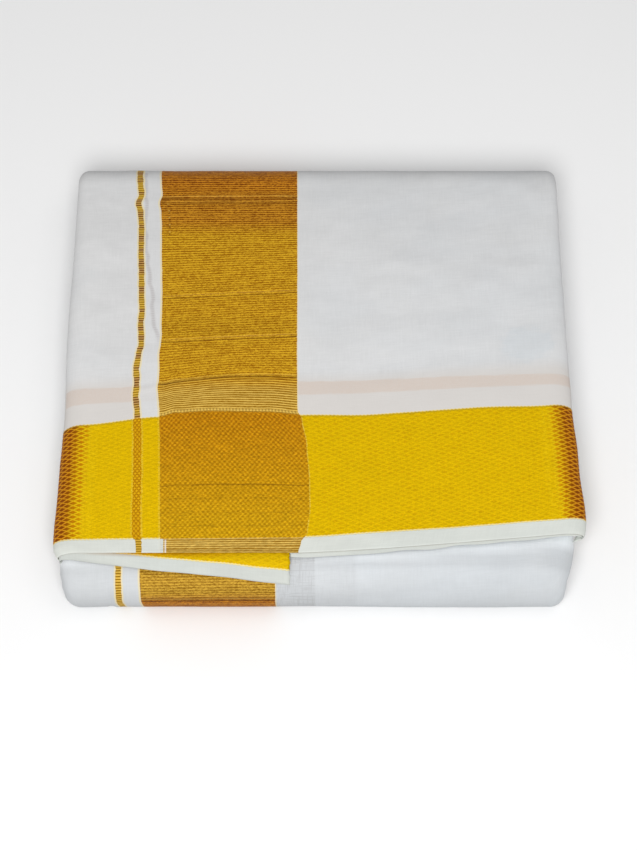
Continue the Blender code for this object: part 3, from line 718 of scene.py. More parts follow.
def plain_cotton(node, colours, at, zones):
    """Plain cotton with its clouds and slubs, cooler on the right, warmer by the border, greyer on the left of the
    front, with painted light on its rounded sides, painted shade towards the back fold and painted cool light on the
    front.
    """
    cool = node("Math", (node("MapRange", (at.u, -60.0, 50.0, 0.0, 0.5), **EASED),
                         node("MapRange", (at.tint, 0.35, 0.65, -0.15, 0.2), **EASED)), **PLUS)
    cotton = node("Mix", (cool, colours["cotton"], colours["cotton_cool"]), clamp_factor=True, **BLEND)
    # Clouds and blotches, and painted shade, slightly greyer, towards the back fold.
    for field, low, high, shade_low, shade_high in (
            (at.cloud, 0.3, 0.7, 0.965, 1.02), (at.blotch, 0.3, 0.7, 0.99, 1.008), (at.v, 190.0, 280.0, 1.0, 0.97)):
        shade = node("MapRange", (field, low, high, shade_low, shade_high), **EASED)
        cotton = node("Mix", (1.0, cotton, shade), **TINT)
    # Slightly greyer on the left of the front too, and painted light on the rounded sides, lighter there.
    on_front = node("MapRange", (at.v, FRONT_FROM, FRONT_FULL, 0.0, 1.0), **EASED)
    greyer_left = node("Math", (on_front, node("MapRange", (at.u, -125.0, -70.0, 0.075, 0.0), **EASED)), **TIMES)
    cotton = node("Mix", (1.0, cotton, node("Math", (1.0, greyer_left), **MINUS)), **TINT)
    painted_side_light = node("Math", (node("MapRange", (at.rounding, -2.0, 12.0, 0.0, 1.0), **EASED),
                            node("Math", (on_front, 0.12, 0.03), **TIMES_PLUS)), **TIMES)
    cotton = node("Mix", (1.0, cotton, node("Math", (painted_side_light, 1.0), **PLUS)), **TINT)
    # A faint patch of laundry blue.
    away = []
    for place, middle, reach in ((at.u, 134.0, 17.0), (at.v, 139.0, 13.0)):
        share = node("Math", (node("Math", (place, middle), **MINUS), reach), **OVER)
        away.append(node("Math", (share, 2.0), operation="POWER"))
    ragged = node("MapRange", (at.blotch, 0.3, 0.7, -0.3, 0.3), **EASED)
    away = node("Math", (node("Math", away, **PLUS), ragged), **PLUS)
    blued = node("Mix", (1.0, cotton, colours["laundry_blue"]), **TINT)
    cotton = node("Mix", (node("MapRange", (away, 0.5, 1.3, 1.0, 0.0), **EASED), cotton, blued), **BLEND)
    cotton = node("Mix", (1.0, cotton, node("MapRange", (at.slubs, 0.6, 1.4, 0.955, 1.03))), **TINT)
    # Painted cool light on the front, warmer just behind the border, greener on the selvedge.
    cast = node("Mix", (1.0, cotton, colours["painted_front_cool_light"]), **TINT)
    cotton = node("Mix", (node("MapRange", (at.v, 560.0, 640.0, 0.0, 0.8), **EASED), cotton, cast), **BLEND)
    off_gap = node("Math", (0.7, node("Math", (zones.gap, 0.6), **TIMES)), **MINUS)
    warm = node("Math", (between(node, at.v, 88.0, 124.0, 6.0), off_gap), **TIMES)
    cotton = node("Mix", (warm, cotton, colours["cotton_warm"]), **BLEND)
    cast = node("Mix", (1.0, cotton, colours["selvedge_cast"]), **TINT)
    return node("Mix", (zones.selvedge, cotton, cast), **BLEND)


def layers_beneath(node, colours, at, zones, cotton):
    """What shows through the plain cotton: a stripe and a folded edge under the top face, and the cross-woven end of
    an inner layer under the front fold.
    """
    on_top = node("Math", (node("MapRange", (at.z, 39.0, 40.0, 0.0, 1.0), **EASED),
                           node("Math", (1.0, zones.border), **MINUS)), **TIMES)
    y_ragged = node("Math", (at.y, node("Math", (at.slub_across, 3.0, -1.5), **TIMES_PLUS)), **PLUS)
    front_line = node("Math", (at.x, 0.0485, -26.5), **TIMES_PLUS)
    back_line = node("Math", (at.x, 0.0357, -16.7), **TIMES_PLUS)
    stripe = node("MapRange", (node("Math", (y_ragged, front_line), **MINUS), -0.8, 0.8, 0.0, 1.0), **EASED)
    for share in (
            node("MapRange", (node("Math", (y_ragged, back_line), **MINUS), -0.8, 0.8, 1.0, 0.0), **EASED),
            on_top,
            node("Math", (1.0, node("Math", (zones.gap, 0.85), **TIMES)), **MINUS),
            node("MapRange", (at.speckle, 0.2, 0.8, 0.6, 1.0))):
        stripe = node("Math", (stripe, share), **TIMES)
    cotton = node("Mix", (stripe, cotton, colours["show_through"]), **BLEND)

    # The folded edge is a thin dotted grey-brown line between the stripe and the band.
    edge_at = node("Math", (node("MapRange", (at.y, 14.4, 84.3, -104.3, -113.6)),
                            node("MapRange", (at.y, 84.0, 149.0, 0.0, -2.8))), **PLUS)
    wander = node("MapRange", (grain(node, at.u, at.v, 60.0, 14.0, 1.0), 0.3, 0.7, -0.9, 0.9), **EASED)
    edge_at = node("Math", (edge_at, wander), **PLUS)
    from_edge = node("Math", (node("Math", (at.x, edge_at), **MINUS),), **UNSIGNED)
    on_edge = node("MapRange", (from_edge, 0.3, 2.1, 0.30, 0.0), **EASED)
    dotted = node("MapRange", (wave(node, at.v, 1.8), -1.0, 1.0, 0.6, 1.0))
    for share in (between(node, at.y, 14.0, 170.0, 7.0), dotted, on_top):
        on_edge = node("Math", (on_edge, share), **TIMES)
    cotton = node("Mix", (on_edge, cotton, colours["edge_shadow"]), **BLEND)

    threads = [node("MapRange", (grain(node, at.u, at.v, across_mm, along_mm, 1.0), 0.5, 0.68, 0.0, 1.0), **EASED)
               for across_mm, along_mm in ((0.55, 9.0), (9.0, 0.55))]
    hatch = node("Math", (node("Math", threads, **LARGER), 0.17, 0.14), **TIMES_PLUS)
    on_front = between(node, at.v, FRONT_FROM, FRONT_TO, 3.0)
    patch = node("Math", (between(node, at.u, -13.0, 11.5, 0.8), on_front), **TIMES)
    beside = node("Math", (between(node, at.u, 11.5, 37.0, 2.0), on_front), **TIMES)
    patch = node("Math", (patch, node("Math", (beside, 0.3), **TIMES)), **PLUS)
    return node("Mix", (node("Math", (patch, hatch), **TIMES), cotton, colours["patch_grey"]), **BLEND)


def border_gold(node, colours, sizes, at, zones):
    """Border: a net of gilt floats. Where it rounds the sides more of its cells show, and floats and cells turn darker
    and
    more orange: a painted reflection of the gilt seen at a slant. Single wefts are too fine to show, so a line of the
    net stands for a group of them.
    """
    cell = net(node, at.u, at.v, sizes["net_across"], sizes["net_along"])
    side = node("Math", (at.rounding, node("MapRange", (at.u, -118.0, -114.0, 1.6, 0.0), **EASED)), **PLUS)
    side_uneven = node("Math", (side, node("Math", (at.blotch, 4.0, -2.0), **TIMES_PLUS)), **PLUS)
    # Painted reflection: how far the gilt has turned darker and more orange towards and round the rounded sides.
    painted_side_sheen = node("MapRange", (side_uneven, -4.6, 2.6, 0.0, 1.0), **EASED)
    deep = node("MapRange", (at.rounding, 0.0, 8.0, 0.0, 1.0), **EASED)
    cell_edge = node("Math", (painted_side_sheen, -0.06, 0.09), **TIMES_PLUS)
    in_cell = node("MapRange", (cell, cell_edge, node("Math", (cell_edge, 0.19), **PLUS), 0.0, 1.0), **EASED)
    line_gold = node("Mix", (painted_side_sheen, colours["yellow_line"], colours["net_line_sheen"]), **BLEND)
    line_gold = node("Mix", (deep, line_gold, colours["net_line_sheen_deep"]), **BLEND)
    # The cells' colour in the painted reflection round the side.
    core = node("Mix", (deep, colours["net_cell_sheen"], colours["net_cell_sheen_deep"]), **BLEND)
    cell_gold = node("Mix", (painted_side_sheen, colours["yellow_cell"], core), **BLEND)
    even = node("Math", (node("MapRange", (at.blotch, 0.3, 0.7, 0.2, 0.8), **EASED),
                         node("MapRange", (at.u, -100.0, -10.0, 0.45, 1.0), **EASED)), **TIMES)
    cell_seen = node("Math", (in_cell, node("Math", (even, painted_side_sheen), **LARGER)), **TIMES)
    gold = node("Mix", (cell_seen, line_gold, cell_gold), **BLEND)
    # A painted highlight: a row of lit floats just before the side rounds.
    painted_highlight_row = node("Math", (between(node, side, -7.0, -3.6, 1.2),
                            node("MapRange", (at.dash, 0.45, 0.6, 0.0, 0.45), **EASED)), **TIMES)
    gold = node("Mix", (painted_highlight_row, gold, colours["net_line_sheen"]), **BLEND)
    for field, low, high, change in (
            (at.speckle, 0.25, 0.75, 0.14), (at.dash, 0.3, 0.7, 0.035), (at.slub_along, 0.3, 0.7, 0.035)):
        shade = node("MapRange", (field, low, high, 1 - change, 1 + change))
        gold = node("Mix", (1.0, gold, shade), **TINT)
    # Its edge on the selvedge is a pale bright line, and the other edge a fainter one with an olive line beside it.
    far_edge = SELVEDGE + BORDER
    for low, high, soft, strength, part in (
            (SELVEDGE - 0.2, SELVEDGE + 1.0, 0.25, 0.92, "rim"), (far_edge - 1.3, far_edge - 0.5, 0.25, 0.4, "olive"),
            (far_edge - 0.4, far_edge + 0.3, 0.2, 0.6, "rim")):
        line = node("Math", (between(node, zones.v_stepped, low, high, soft), strength), **TIMES)
        gold = node("Mix", (line, gold, colours[part]), **BLEND)
    return gold, in_cell


def band_places(node, at):
    """How far along the cloth a place in the band lies, once for the row of weft it is in, which is arched by the
    border and slanted behind it, and once more for creases, which wander.
    """
    arch = node("Math", (node("MapRange", (at.v, 98.0, 120.0, 0.0, 1.0), **EASED),
                         node("MapRange", (at.v, 126.0, 152.0, 1.0, 0.0), **EASED)), **TIMES)
    arch = node("Math", (arch, node("MapRange", (at.u, -100.0, -40.0, 3.8, 0.0), **EASED)), **TIMES)
    v_arched = node("Math", (at.v, arch), **PLUS)
    slant = node("Math", (between(node, at.v, 135.0, 222.0, 22.0),
                          node("MapRange", (at.u, BAND_FROM, BAND_TO, 2.0, -2.0))), **TIMES)
    v_slanted = node("Math", (v_arched, slant), **PLUS)
    v_creased = node("Math", (v_slanted, node("MapRange", (at.slub_across, 0.2, 0.8, -0.5, 0.5))), **PLUS)
    return v_arched, v_slanted, v_creased


def band_ribs(node, sizes, at, v_arched, v_slanted):
    """How much gilt shows, from 0 to 1: ribs, broken up by flecks in the middle of the band, open by the border. Single
    wefts are too fine to show, so a rib stands for a group of them.
    """
    v_rippled = node("Math", (v_slanted, node("MapRange", (at.slub_across, 0.25, 0.75, -0.2, 0.2))), **PLUS)
    near_border = between(node, v_arched, 96.0, 123.5, 0.6)
    by_fold = between(node, at.v, 214.0, 345.0, 16.0)
    on_front = between(node, at.v, FRONT_FROM, FRONT_TO, 5.0)
    ribs = wave(node, v_rippled, sizes["rib_pitch"])
    rib = node("Mix", (near_border, node("MapRange", (ribs, -0.9, 0.9, 0.0, 1.0), **EASED),
                       node("MapRange", (ribs, 0.05, 0.95, -0.08, 1.3), **EASED)), **VALUES)
    strength = node("Math", (node("Math", (by_fold, near_border), **LARGER), 0.18, 0.56), **TIMES_PLUS)
    strength = node("Math", (on_front, -0.04, strength), **TIMES_PLUS)
    flecks = node("Math", (node("MapRange", (at.dash, 0.38, 0.62, 0.0, 0.5), **EASED),
                           node("MapRange", (at.speckle, 0.34, 0.66, 0.0, 0.5), **EASED)), **PLUS)
    flecks = node("Math", (node("Math", (flecks, 0.5), **MINUS),
                           node("Math", (near_border, -0.5, 0.85), **TIMES_PLUS)), **TIMES)
    gilt = node("Math", (node("Math", (rib, 0.5), **MINUS), strength, 0.5), **TIMES_PLUS)
    for uneven in (flecks, node("MapRange", (at.long_dash, 0.3, 0.7, -0.10, 0.10)),
                   node("MapRange", (at.blotch, 0.3, 0.7, -0.10, 0.10))):
        gilt = node("Math", (gilt, uneven), **PLUS)
    return gilt


def band_gold(node, colours, at, gilt, v_creased):
    """Band: ribs of gilt weft over brown silk core, with creases painted across it in shade and highlight, and a few
    knots at one end.
    """
    threads = []
    first, *middle, last = BAND_TONES
    for thread in ("dark", "light"):
        tone = node("ValToRGB", (node("Math", (at.v, last.v), **OVER),))
        ramp = tone.node.color_ramp
        ramp.elements[0].color = colours[f"{first.shade}_{thread}"]
        ramp.elements[1].color = colours[f"{last.shade}_{thread}"]
        for row in middle:
            ramp.elements.new(row.v / last.v).color = colours[f"{row.shade}_{thread}"]
        threads.append(tone)
    band = node("Mix", (gilt, threads[0], threads[1]), **BLEND)
    worn = node("Math", (between(node, at.v, 156.0, 171.0, 4.0), -0.07, 1.0), **TIMES_PLUS)
    band = node("Mix", (1.0, band, worn), **TINT)
    # A crease is painted: a dark line of painted shade with a painted highlight behind.
    for crease in BAND_CREASES:
        for low, high, share, part in ((-0.5, 0.6, 1.0, "crease_dark"), (1.5, 2.3, 0.45, "pale_light")):
            line = between(node, v_creased, crease.v + low, crease.v + high, 0.5)
            line = node("Math", (line, share * crease.strength), **TIMES)
            band = node("Mix", (line, band, colours[part]), **BLEND)
    # A knot is a pale speck with its own small painted shadow.
    knotted = node("Math", (between(node, at.u, -97.4, -96.3, 0.4), between(node, at.v, 236.0, 262.0, 3.0)), **TIMES)
    for shift, strength, part in ((0.0, 0.50, "pale_light"), (2.2, 0.60, "crease_dark")):
        knot = node("MapRange", (wave(node, at.v, 5.7, shift), 0.70, 0.98, 0.0, strength), **EASED)
        band = node("Mix", (node("Math", (knotted, knot), **TIMES), band, colours[part]), **BLEND)
    return band


def crossing_gold(node, colours, at, v_creased):
    """Where band and border cross, gilt is woven both ways: a basket of small lit beads, each for a group of threads
    that are too fine to show.
    """
    beads = node("Math", (wave(node, at.u, 3.0), wave(node, at.v, 3.5)), **TIMES)
    patchy = node("MapRange", (grain(node, at.u, at.v, 7.0, 5.0, 1.0), 0.3, 0.7, 0.5, 1.1), **EASED)
    beads = node("Math", (beads, patchy), **TIMES)
    beads = node("Math", (beads, node("Math", (at.speckle, 2.0, -1.0), **TIMES_PLUS)), **PLUS)
    bead = node("MapRange", (beads, -0.75, 0.85, 0.0, 1.0), **EASED)
    aged = node("MapRange", (at.v, 22.0, 92.0, 0.0, 1.0))
    dark = node("Mix", (aged, colours["crossing_low_dark"], colours["crossing_dark"]), **BLEND)
    light = node("Mix", (aged, colours["crossing_low_light"], colours["crossing_light"]), **BLEND)
    gold = node("Mix", (bead, dark, light), **BLEND)
    for field, change in ((at.dash, 0.20), (at.slub_across, 0.07)):
        shade = node("MapRange", (field, 0.3, 0.7, 1 - change, 1 + change))
        gold = node("Mix", (1.0, gold, shade), **TINT)
    # Creases across the crossing, as dark lines of painted shade.
    for crease in CROSSING_CREASES:
        line = between(node, v_creased, crease.v - 0.35, crease.v + 0.35, 0.45)
        line = node("Math", (line, crease.strength), **TIMES)
        gold = node("Mix", (line, gold, colours["crease_dark"]), **BLEND)
    return gold, bead


def hem_gold(node, colours, at):
    """On the selvedge the band's wefts run on over white cotton as a few wider ribs."""
    v_uneven = node("Math", (grain(node, at.u, at.v, 260.0, 2.4, 1.0), 1.8, at.v), **TIMES_PLUS)
    rib = node("Math", (wave(node, v_uneven, 1.55, 0.6), node("MapRange", (at.long_dash, 0.3, 0.7, -0.6, 0.6))), **PLUS)
    rib = node("MapRange", (rib, -0.9, 1.0, 0.0, 1.0), **EASED)
    hem = node("Mix", (rib, colours["hem_dark"], colours["hem_light"]), **BLEND)
    for shade in (node("MapRange", (at.dash, 0.3, 0.7, 0.84, 1.16)),
                  node("MapRange", (at.v, 0.0, 3.0, 0.80, 1.0), **EASED)):
        hem = node("Mix", (1.0, hem, shade), **TINT)
    return hem


def stripe_gold(node, colours, sizes, at, zones):
    """Stripe: a ladder of dark and gold rungs on pale cotton, a basket of beads where it crosses the border."""
    rung = node("MapRange", (wave(node, at.v, sizes["rung_pitch"]), -0.7, 0.9, 0.0, 1.0), **EASED)
    block = node("MapRange", (grain(node, at.u, at.v, 60.0, 7.0), 0.44, 0.56, 0.0, 1.0), **EASED)
    block = node("Math", (block, node("MapRange", (at.v, 630.0, 650.0, 0.0, 0.8))), **LARGER)
    pale = node("Mix", (block, colours["rung_light"], colours["rung_gold_light"]), **BLEND)
    deep = node("Mix", (block, colours["rung_dark"], colours["rung_gold"]), **BLEND)
    ladder = node("Mix", (rung, pale, deep), **BLEND)
    ladder = node("Mix", (1.0, ladder, node("MapRange", (at.dash, 0.3, 0.7, 0.88, 1.12))), **TINT)
    from_side = node("Math", (at.u, STRIPE_AT - STRIPE_WIDTH_IN_BORDER / 2), **MINUS)
    link = net(node, from_side, at.v, STRIPE_WIDTH_IN_BORDER / 2, 3.5)
    link = node("Math", (link, node("Math", (at.speckle, 0.5, -0.25), **TIMES_PLUS)), **PLUS)
    link = node("MapRange", (link, 0.03, 0.36, 0.0, 1.0), **EASED)
    basket = node("Mix", (link, colours["stripe_dark"], colours["stripe_gold"]), **BLEND)
    stripe = node("Mix", (zones.border, ladder, basket), **BLEND)
    on_selvedge = node("Mix", (rung, colours["rung_gold"], colours["rung_gold_light"]), **BLEND)
    return node("Mix", (zones.selvedge, stripe, on_selvedge), **BLEND), rung


def guard_threads(node, at, zones):
    """How much a place lies on the pale guard threads along the stripe and the band, weak in border and selvedge."""
    off_cotton = node("Math", (zones.border, zones.selvedge), **PLUS)
    by_stripe = between(node, zones.past_stripe, -0.1, 0.95, 0.3)
    by_stripe = node("Math", (by_stripe, node("MapRange", (off_cotton, 0.0, 1.0, 0.85, 0.05), **EASED)), **TIMES)
    before_band = node("Math", (between(node, at.u, BAND_FROM - 1.1, BAND_FROM, 0.3),
                                node("MapRange", (off_cotton, 0.0, 1.0, 1.0, 0.4), **EASED)), **TIMES)
    by_band = node("Math", (before_band, between(node, at.u, BAND_TO, BAND_TO + 0.6, 0.3)), **LARGER)
    by_band = node("Math", (by_band, node("MapRange", (off_cotton, 0.0, 1.0, 0.85, 0.10), **EASED)), **TIMES)
    broken = node("Mix", (off_cotton, node("MapRange", (at.slub_along, 0.35, 0.6, 0.7, 1.0), **EASED),
                          node("MapRange", (at.speckle, 0.4, 0.6, 0.0, 2.5), **EASED)), **VALUES)
    return node("Math", (node("Math", (by_stripe, by_band), **LARGER), broken), **TIMES)


def fold_shading(node, colours, at, colour):
    """Painted light and shade: painted light on the fold just below the flap, under layers a little darker all over and
    warmer in their deepest painted shade, a painted reflection of the gilt round them, and painted shade on the front
    fold towards the bottom.
    """
    paler = node("Attribute", out=2, attribute_name="paler")
    colour = node("Mix", (1.0, colour, node("Math", (paler, 1.0), **PLUS)), **TINT)
    # The deepest painted shade is tinted warm, a painted reflection of the gilt.
    warm = node("MapRange", (paler, -0.20, -0.46, 0.0, 1.0))
    colour = node("Mix", (warm, colour, colours["warm_shade"]), **TINT)
    # Painted shade: the front fold darkens towards the bottom, and is lighter again just below the flap.
    painted_foot_shade = node("Math", (node("MapRange", (at.v, FRONT_FROM, FRONT_FULL, 1.0, 0.83), **EASED),
                         node("MapRange", (at.v, 652.0, 686.0, 0.83, 0.985), **EASED)), **LARGER)
    return node("Mix", (1.0, colour, painted_foot_shade), **TINT)


def zari_cotton(colours, sizes):
    """Mulmul cotton, plain woven and bleached, with zari: gilt thread woven in as border, band and stripe. Cotton
    is matt with a soft nap; the gilt thread gives the gold a low, broken gleam.
    """
    material, tree, shader = new_material("zari cotton", 0.78)
    node = partial(add, tree)
    shader.inputs["Specular IOR Level"].default_value = 0.05
    shader.inputs["Sheen Weight"].default_value = 0.02
    shader.inputs["Sheen Roughness"].default_value = 0.5

    at = cloth_places(node)
    zones = woven_zones(node, at)
    cotton = layers_beneath(node, colours, at, zones, plain_cotton(node, colours, at, zones))
    border, in_cell = border_gold(node, colours, sizes, at, zones)
    v_arched, v_slanted, v_creased = band_places(node, at)
    gilt = band_ribs(node, sizes, at, v_arched, v_slanted)
    crossing, bead = crossing_gold(node, colours, at, v_creased)
    stripe, rung = stripe_gold(node, colours, sizes, at, zones)
    guard_colour = node("Mix", (zones.border, colours["guard_thread"], colours["rim"]), **BLEND)

    both = node("Math", (zones.band, zones.border), **TIMES)
    band_on_selvedge = node("Math", (zones.band, zones.selvedge), **TIMES)
    in_hem = node("Math", (between(node, at.u, BAND_FROM + 1.9, BAND_TO), zones.selvedge), **TIMES)
    colour = cotton
    for share, part in (
            (zones.border, border), (guard_threads(node, at, zones), guard_colour),
            (zones.band, band_gold(node, colours, at, gilt, v_creased)), (both, crossing),
            (band_on_selvedge, cotton), (in_hem, hem_gold(node, colours, at)), (zones.stripe, stripe)):
        colour = node("Mix", (share, colour, part), **BLEND)
    # A row of dark dots on a pale line, where the border's last weft ties into the band, and a loose thread.
    tie = node("Math", (between(node, v_arched, 96.6, 98.4, 0.3), zones.band), **TIMES)
    dots = node("Math", (tie, between(node, wave(node, at.u, 2.1), 0.1, 2.0, 0.3)), **TIMES)
    loose = node("Math", (between(node, at.u, BAND_FROM + 2.7, BAND_FROM + 3.7, 0.25),
                          between(node, at.v, -1.0, 9.4, 0.6)), **TIMES)
    for share, strength, part in ((tie, 0.6, "pale_light"), (dots, 0.38, "crease_dark"), (loose, 0.9, "loose_thread")):
        share = node("Math", (share, strength), **TIMES)
        colour = node("Mix", (share, colour, colours[part]), **BLEND)
    tree.links.new(fold_shading(node, colours, at, colour), shader.inputs["Base Color"])

    gilded = node("Math", (node("Math", (zones.border, zones.band), **LARGER), zones.stripe), **LARGER)
    tree.links.new(node("Math", (gilded, 0.22), **TIMES), shader.inputs["Metallic"])
    rough = node("Math", (node("MapRange", (gilded, 0.0, 1.0, 0.92, 0.62), **EASED),
                          node("MapRange", (at.speckle, 0.2, 0.8, -0.06, 0.06), **EASED)), **PLUS)
    tree.links.new(rough, shader.inputs["Roughness"])

    # Relief: slubs on the cotton, floats, ribs and beads on the gold.
    relief = node("Math", (at.slubs, 0.34), **TIMES)
    for share, height, strength in (
            (zones.border, in_cell, -0.5), (zones.band, gilt, 0.6), (both, bead, 0.7), (zones.stripe, rung, -0.5)):
        relief = node("Mix", (share, relief, node("Math", (height, strength), **TIMES)), **VALUES)
    bump = node("Bump", {"Strength": 0.55, "Distance": 0.0004, "Height": relief})
    tree.links.new(bump, shader.inputs["Normal"])
    return material


def matt_board(colour):
    """Painted backdrop board, smooth and matt: an even pale ground."""
    material, tree, shader = new_material("painted board", 0.85)
    node = partial(add, tree)
    mottle = node("TexNoise", {"Vector": node("TexCoord", out=3), "Scale": 3.0})
    shade = node("MapRange", (mottle, 0.0, 1.0, 0.985, 1.0))
    tree.links.new(node("Mix", (1.0, colour, shade), **TINT), shader.inputs["Base Color"])
    return material


COLOURS = {
    "cotton_cool": "#D2D4D6",
    "cotton_warm": "#D2CCC6",
    "painted_front_cool_light": "#F8FCFF",
    "show_through": "#D0C3B9",
    "edge_shadow": "#7F6C69",
    "selvedge_cast": "#FAFDF5",
    "laundry_blue": "#FAFDFF",
    "loose_thread": "#E1DAD2",
    "warm_shade": "#FFE0C4",
    "rim": "#EBDD9E",
    "olive": "#887E26",
    "patch_grey": "#7F7B79",
    "guard_thread": "#E5D4A2",
    "net_line_sheen": "#E3C10E",
    "net_line_sheen_deep": "#D58F18",
    "net_cell_sheen": "#C58301",
    "net_cell_sheen_deep": "#874502",
    "pale_dark": "#9C6E10",
    "pale_light": "#EFC962",
    "brown_dark": "#7A3D00",
    "brown_light": "#D69727",
    "umber_dark": "#723300",
    "umber_light": "#D78E23",
    "front_dark": "#875E10",
    "front_light": "#D2A63C",
    "crease_dark": "#4A1F08",
    "crossing_low_dark": "#B78605",
    "crossing_low_light": "#D9AA14",
    "crossing_dark": "#A86A04",
    "hem_dark": "#9D7018",
    "hem_light": "#DBB85D",
    "rung_gold": "#977108",
    "rung_gold_light": "#DBB349",
    "rung_dark": "#6D3F0E",
    "rung_light": "#C49A59",
    "stripe_dark": "#B47B02",
    "stripe_gold": "#DFAC0E",
}


# --- the settings a user would change -----------------------------------------------------------------------------

def colour_property(name, description, code):
    return bpy.props.FloatVectorProperty(
        name=name, description=description, subtype="COLOR", size=3, min=0, max=1, default=hex_colour(code))


class DhotiSizes(bpy.types.PropertyGroup):
    cloth_thickness: bpy.props.FloatProperty(
        name="Cloth thickness", description="Thickness of one layer with its nap", default=0.45 * MM, min=0.1 * MM,
        max=1.4 * MM, subtype="DISTANCE", unit="LENGTH", precision=5)
    crease_depth: bpy.props.FloatProperty(
        name="Crease depth", description="How deep the creases are, as a share of the usual depth", default=1.0,
        min=0.0, max=2.0)
    mesh_step: bpy.props.FloatProperty(
        name="Mesh step", description="Spacing of the cloth's points on the top face", default=1.9 * MM, min=1.0 * MM,
        max=8.0 * MM, subtype="DISTANCE", unit="LENGTH", precision=5)
    net_across: bpy.props.FloatProperty(
        name="Net pitch across", description="Width of a cell of the border's net, in mm", default=7.5, min=2, max=20)
    net_along: bpy.props.FloatProperty(
        name="Net pitch along", description="Height of a cell of the border's net, in mm", default=3.37, min=1, max=20)
    rib_pitch: bpy.props.FloatProperty(
        name="Rib pitch", description="Spacing of the band's ribs, in mm", default=1.8, min=0.5, max=5)
    rung_pitch: bpy.props.FloatProperty(
        name="Rung pitch", description="Spacing of the thin stripe's rungs, in mm", default=1.8, min=0.5, max=5)
    inner_folds: bpy.props.IntProperty(
        name="Inner folds", description="Folded edges that show in each pass of the inner layers", default=5, min=2,
        max=10)


class DhotiColours(bpy.types.PropertyGroup):
    cotton: colour_property("Cotton", "Colour of the plain cotton", "#D6D6D6")
    yellow_line: colour_property("Border gold", "Colour of the gilt floats in the border", "#DDB600")
    yellow_cell: colour_property("Border cells", "Colour between the gilt floats in the border", "#CEA100")
    crossing_light: colour_property("Crossing gold", "Colour of the gilt beads where band and border cross", "#D19311")
    gold_light: colour_property("Band gold", "Colour of the band's gilt ribs", "#E4B328")
    gold_dark: colour_property("Band brown", "Colour between the band's gilt ribs", "#975D00")
    floor: colour_property("Floor", "Colour of the board that it lies on", "#F4F4F4")


def cloth_material(context):
    """The one cloth material, made on first use."""
    known = bpy.data.materials.get("zari cotton")
    if known:
        return known
    sizes = context.scene.dhoti_sizes
    chosen = context.scene.dhoti_colours
    colours = {name: paint(code) for name, code in COLOURS.items()}
    colours.update((name, (*getattr(chosen, name), 1.0)) for name in DhotiColours.__annotations__)
    return zari_cotton(colours, {name: getattr(sizes, name)
                                 for name in ("net_across", "net_along", "rib_pitch", "rung_pitch")})


class DHOTI_OT_outer_cloth(bpy.types.Operator):
    """Make the outer cloth: selvedge, top face, back fold, underside, front fold and tuck, in one sheet"""

    bl_idname = "dhoti.outer_cloth"
    bl_label = "Outer cloth"

    def execute(self, context):
        sizes = context.scene.dhoti_sizes
        step = sizes.mesh_step
        fine = FINE_EDGE / TOP_RUN
        stages = [0.0]
        for start, end, length, spacing in (
                (0, fine, FINE_EDGE, 0.5 * step), (fine, 1, TOP_RUN, step),
                (1, 2, math.pi * BACK_RADIUS, 1.5 * step), (2, 3, UNDER_RUN, 5 * step),
                (3, 4, math.pi * FRONT_HEIGHT / 2, 0.95 * step), (4, 5, TUCK_LENGTH, 3 * step)):
            count = max(2, round(length / spacing))
            stages += [start + (end - start) * k / count for k in range(1, count + 1)]
        stage = np.array(stages)
        x, depth, rounding = across(stage, 0.0, round(2 * (HALF_WIDTH - SIDE_ROUNDING) / step), CURL_COLUMNS)
        points = lay(stage[:, None] + 0 * x, x, depth)
        v = walked(points, 0)
        middle = x.shape[1] // 2
        u = walked(points, 1)
        u = (u - u[:, middle:middle + 1] + x[:, middle:middle + 1]) / MM
        v = v / MM
        lift = creased(u, v, sizes.crease_depth)
        lift += sum(ruffled(u, v, ruffle) for ruffle in OUTER_RUFFLES) * MM * sizes.crease_depth
        flat_below = np.clip(np.minimum(stage - FLAT_FROM, FLAT_TO - stage) * 12, 0, 1)[:, None]
        lift = lift * (1 - flat_below)
        lift = np.where(stage[:, None] > 1.5, np.minimum(lift, LOWEST_LIFT), lift)
        points = points + outward(points) * lift[..., None]
        points[..., 2] = np.maximum(points[..., 2], 0.0)
        # Painted light on the front fold just below the flap's edge.
        ahead = (FLAP_EDGE + setback(points[..., 0]) - points[..., 1]) / MM
        paler = GLOW * np.clip(1 - (ahead - GLOW_FROM) / GLOW_RUN, 0, 1) ** 1.5 * (stage[:, None] > 3.5)
        cloth = cloth_object("outer_cloth", points, cloth_u(u, v), cloth_v(u, v), rounding, cloth_material(context),
                             sizes.cloth_thickness, paler)
        length = float(np.median(v[-1])) * MM
        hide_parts("top_stretch", "front_stretch")
        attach(cloth, "root")
        return {"FINISHED"}


def droop(out, start):
    """How far a layer this far out in front of the flap's edge has come forward and down."""
    out = np.maximum(0.0, out)
    angle = start + DROOP_BEND * out
    forward = (np.sin(angle) - np.sin(start)) / DROOP_BEND
    down = (np.cos(start) - np.cos(angle)) / DROOP_BEND
    return forward, down


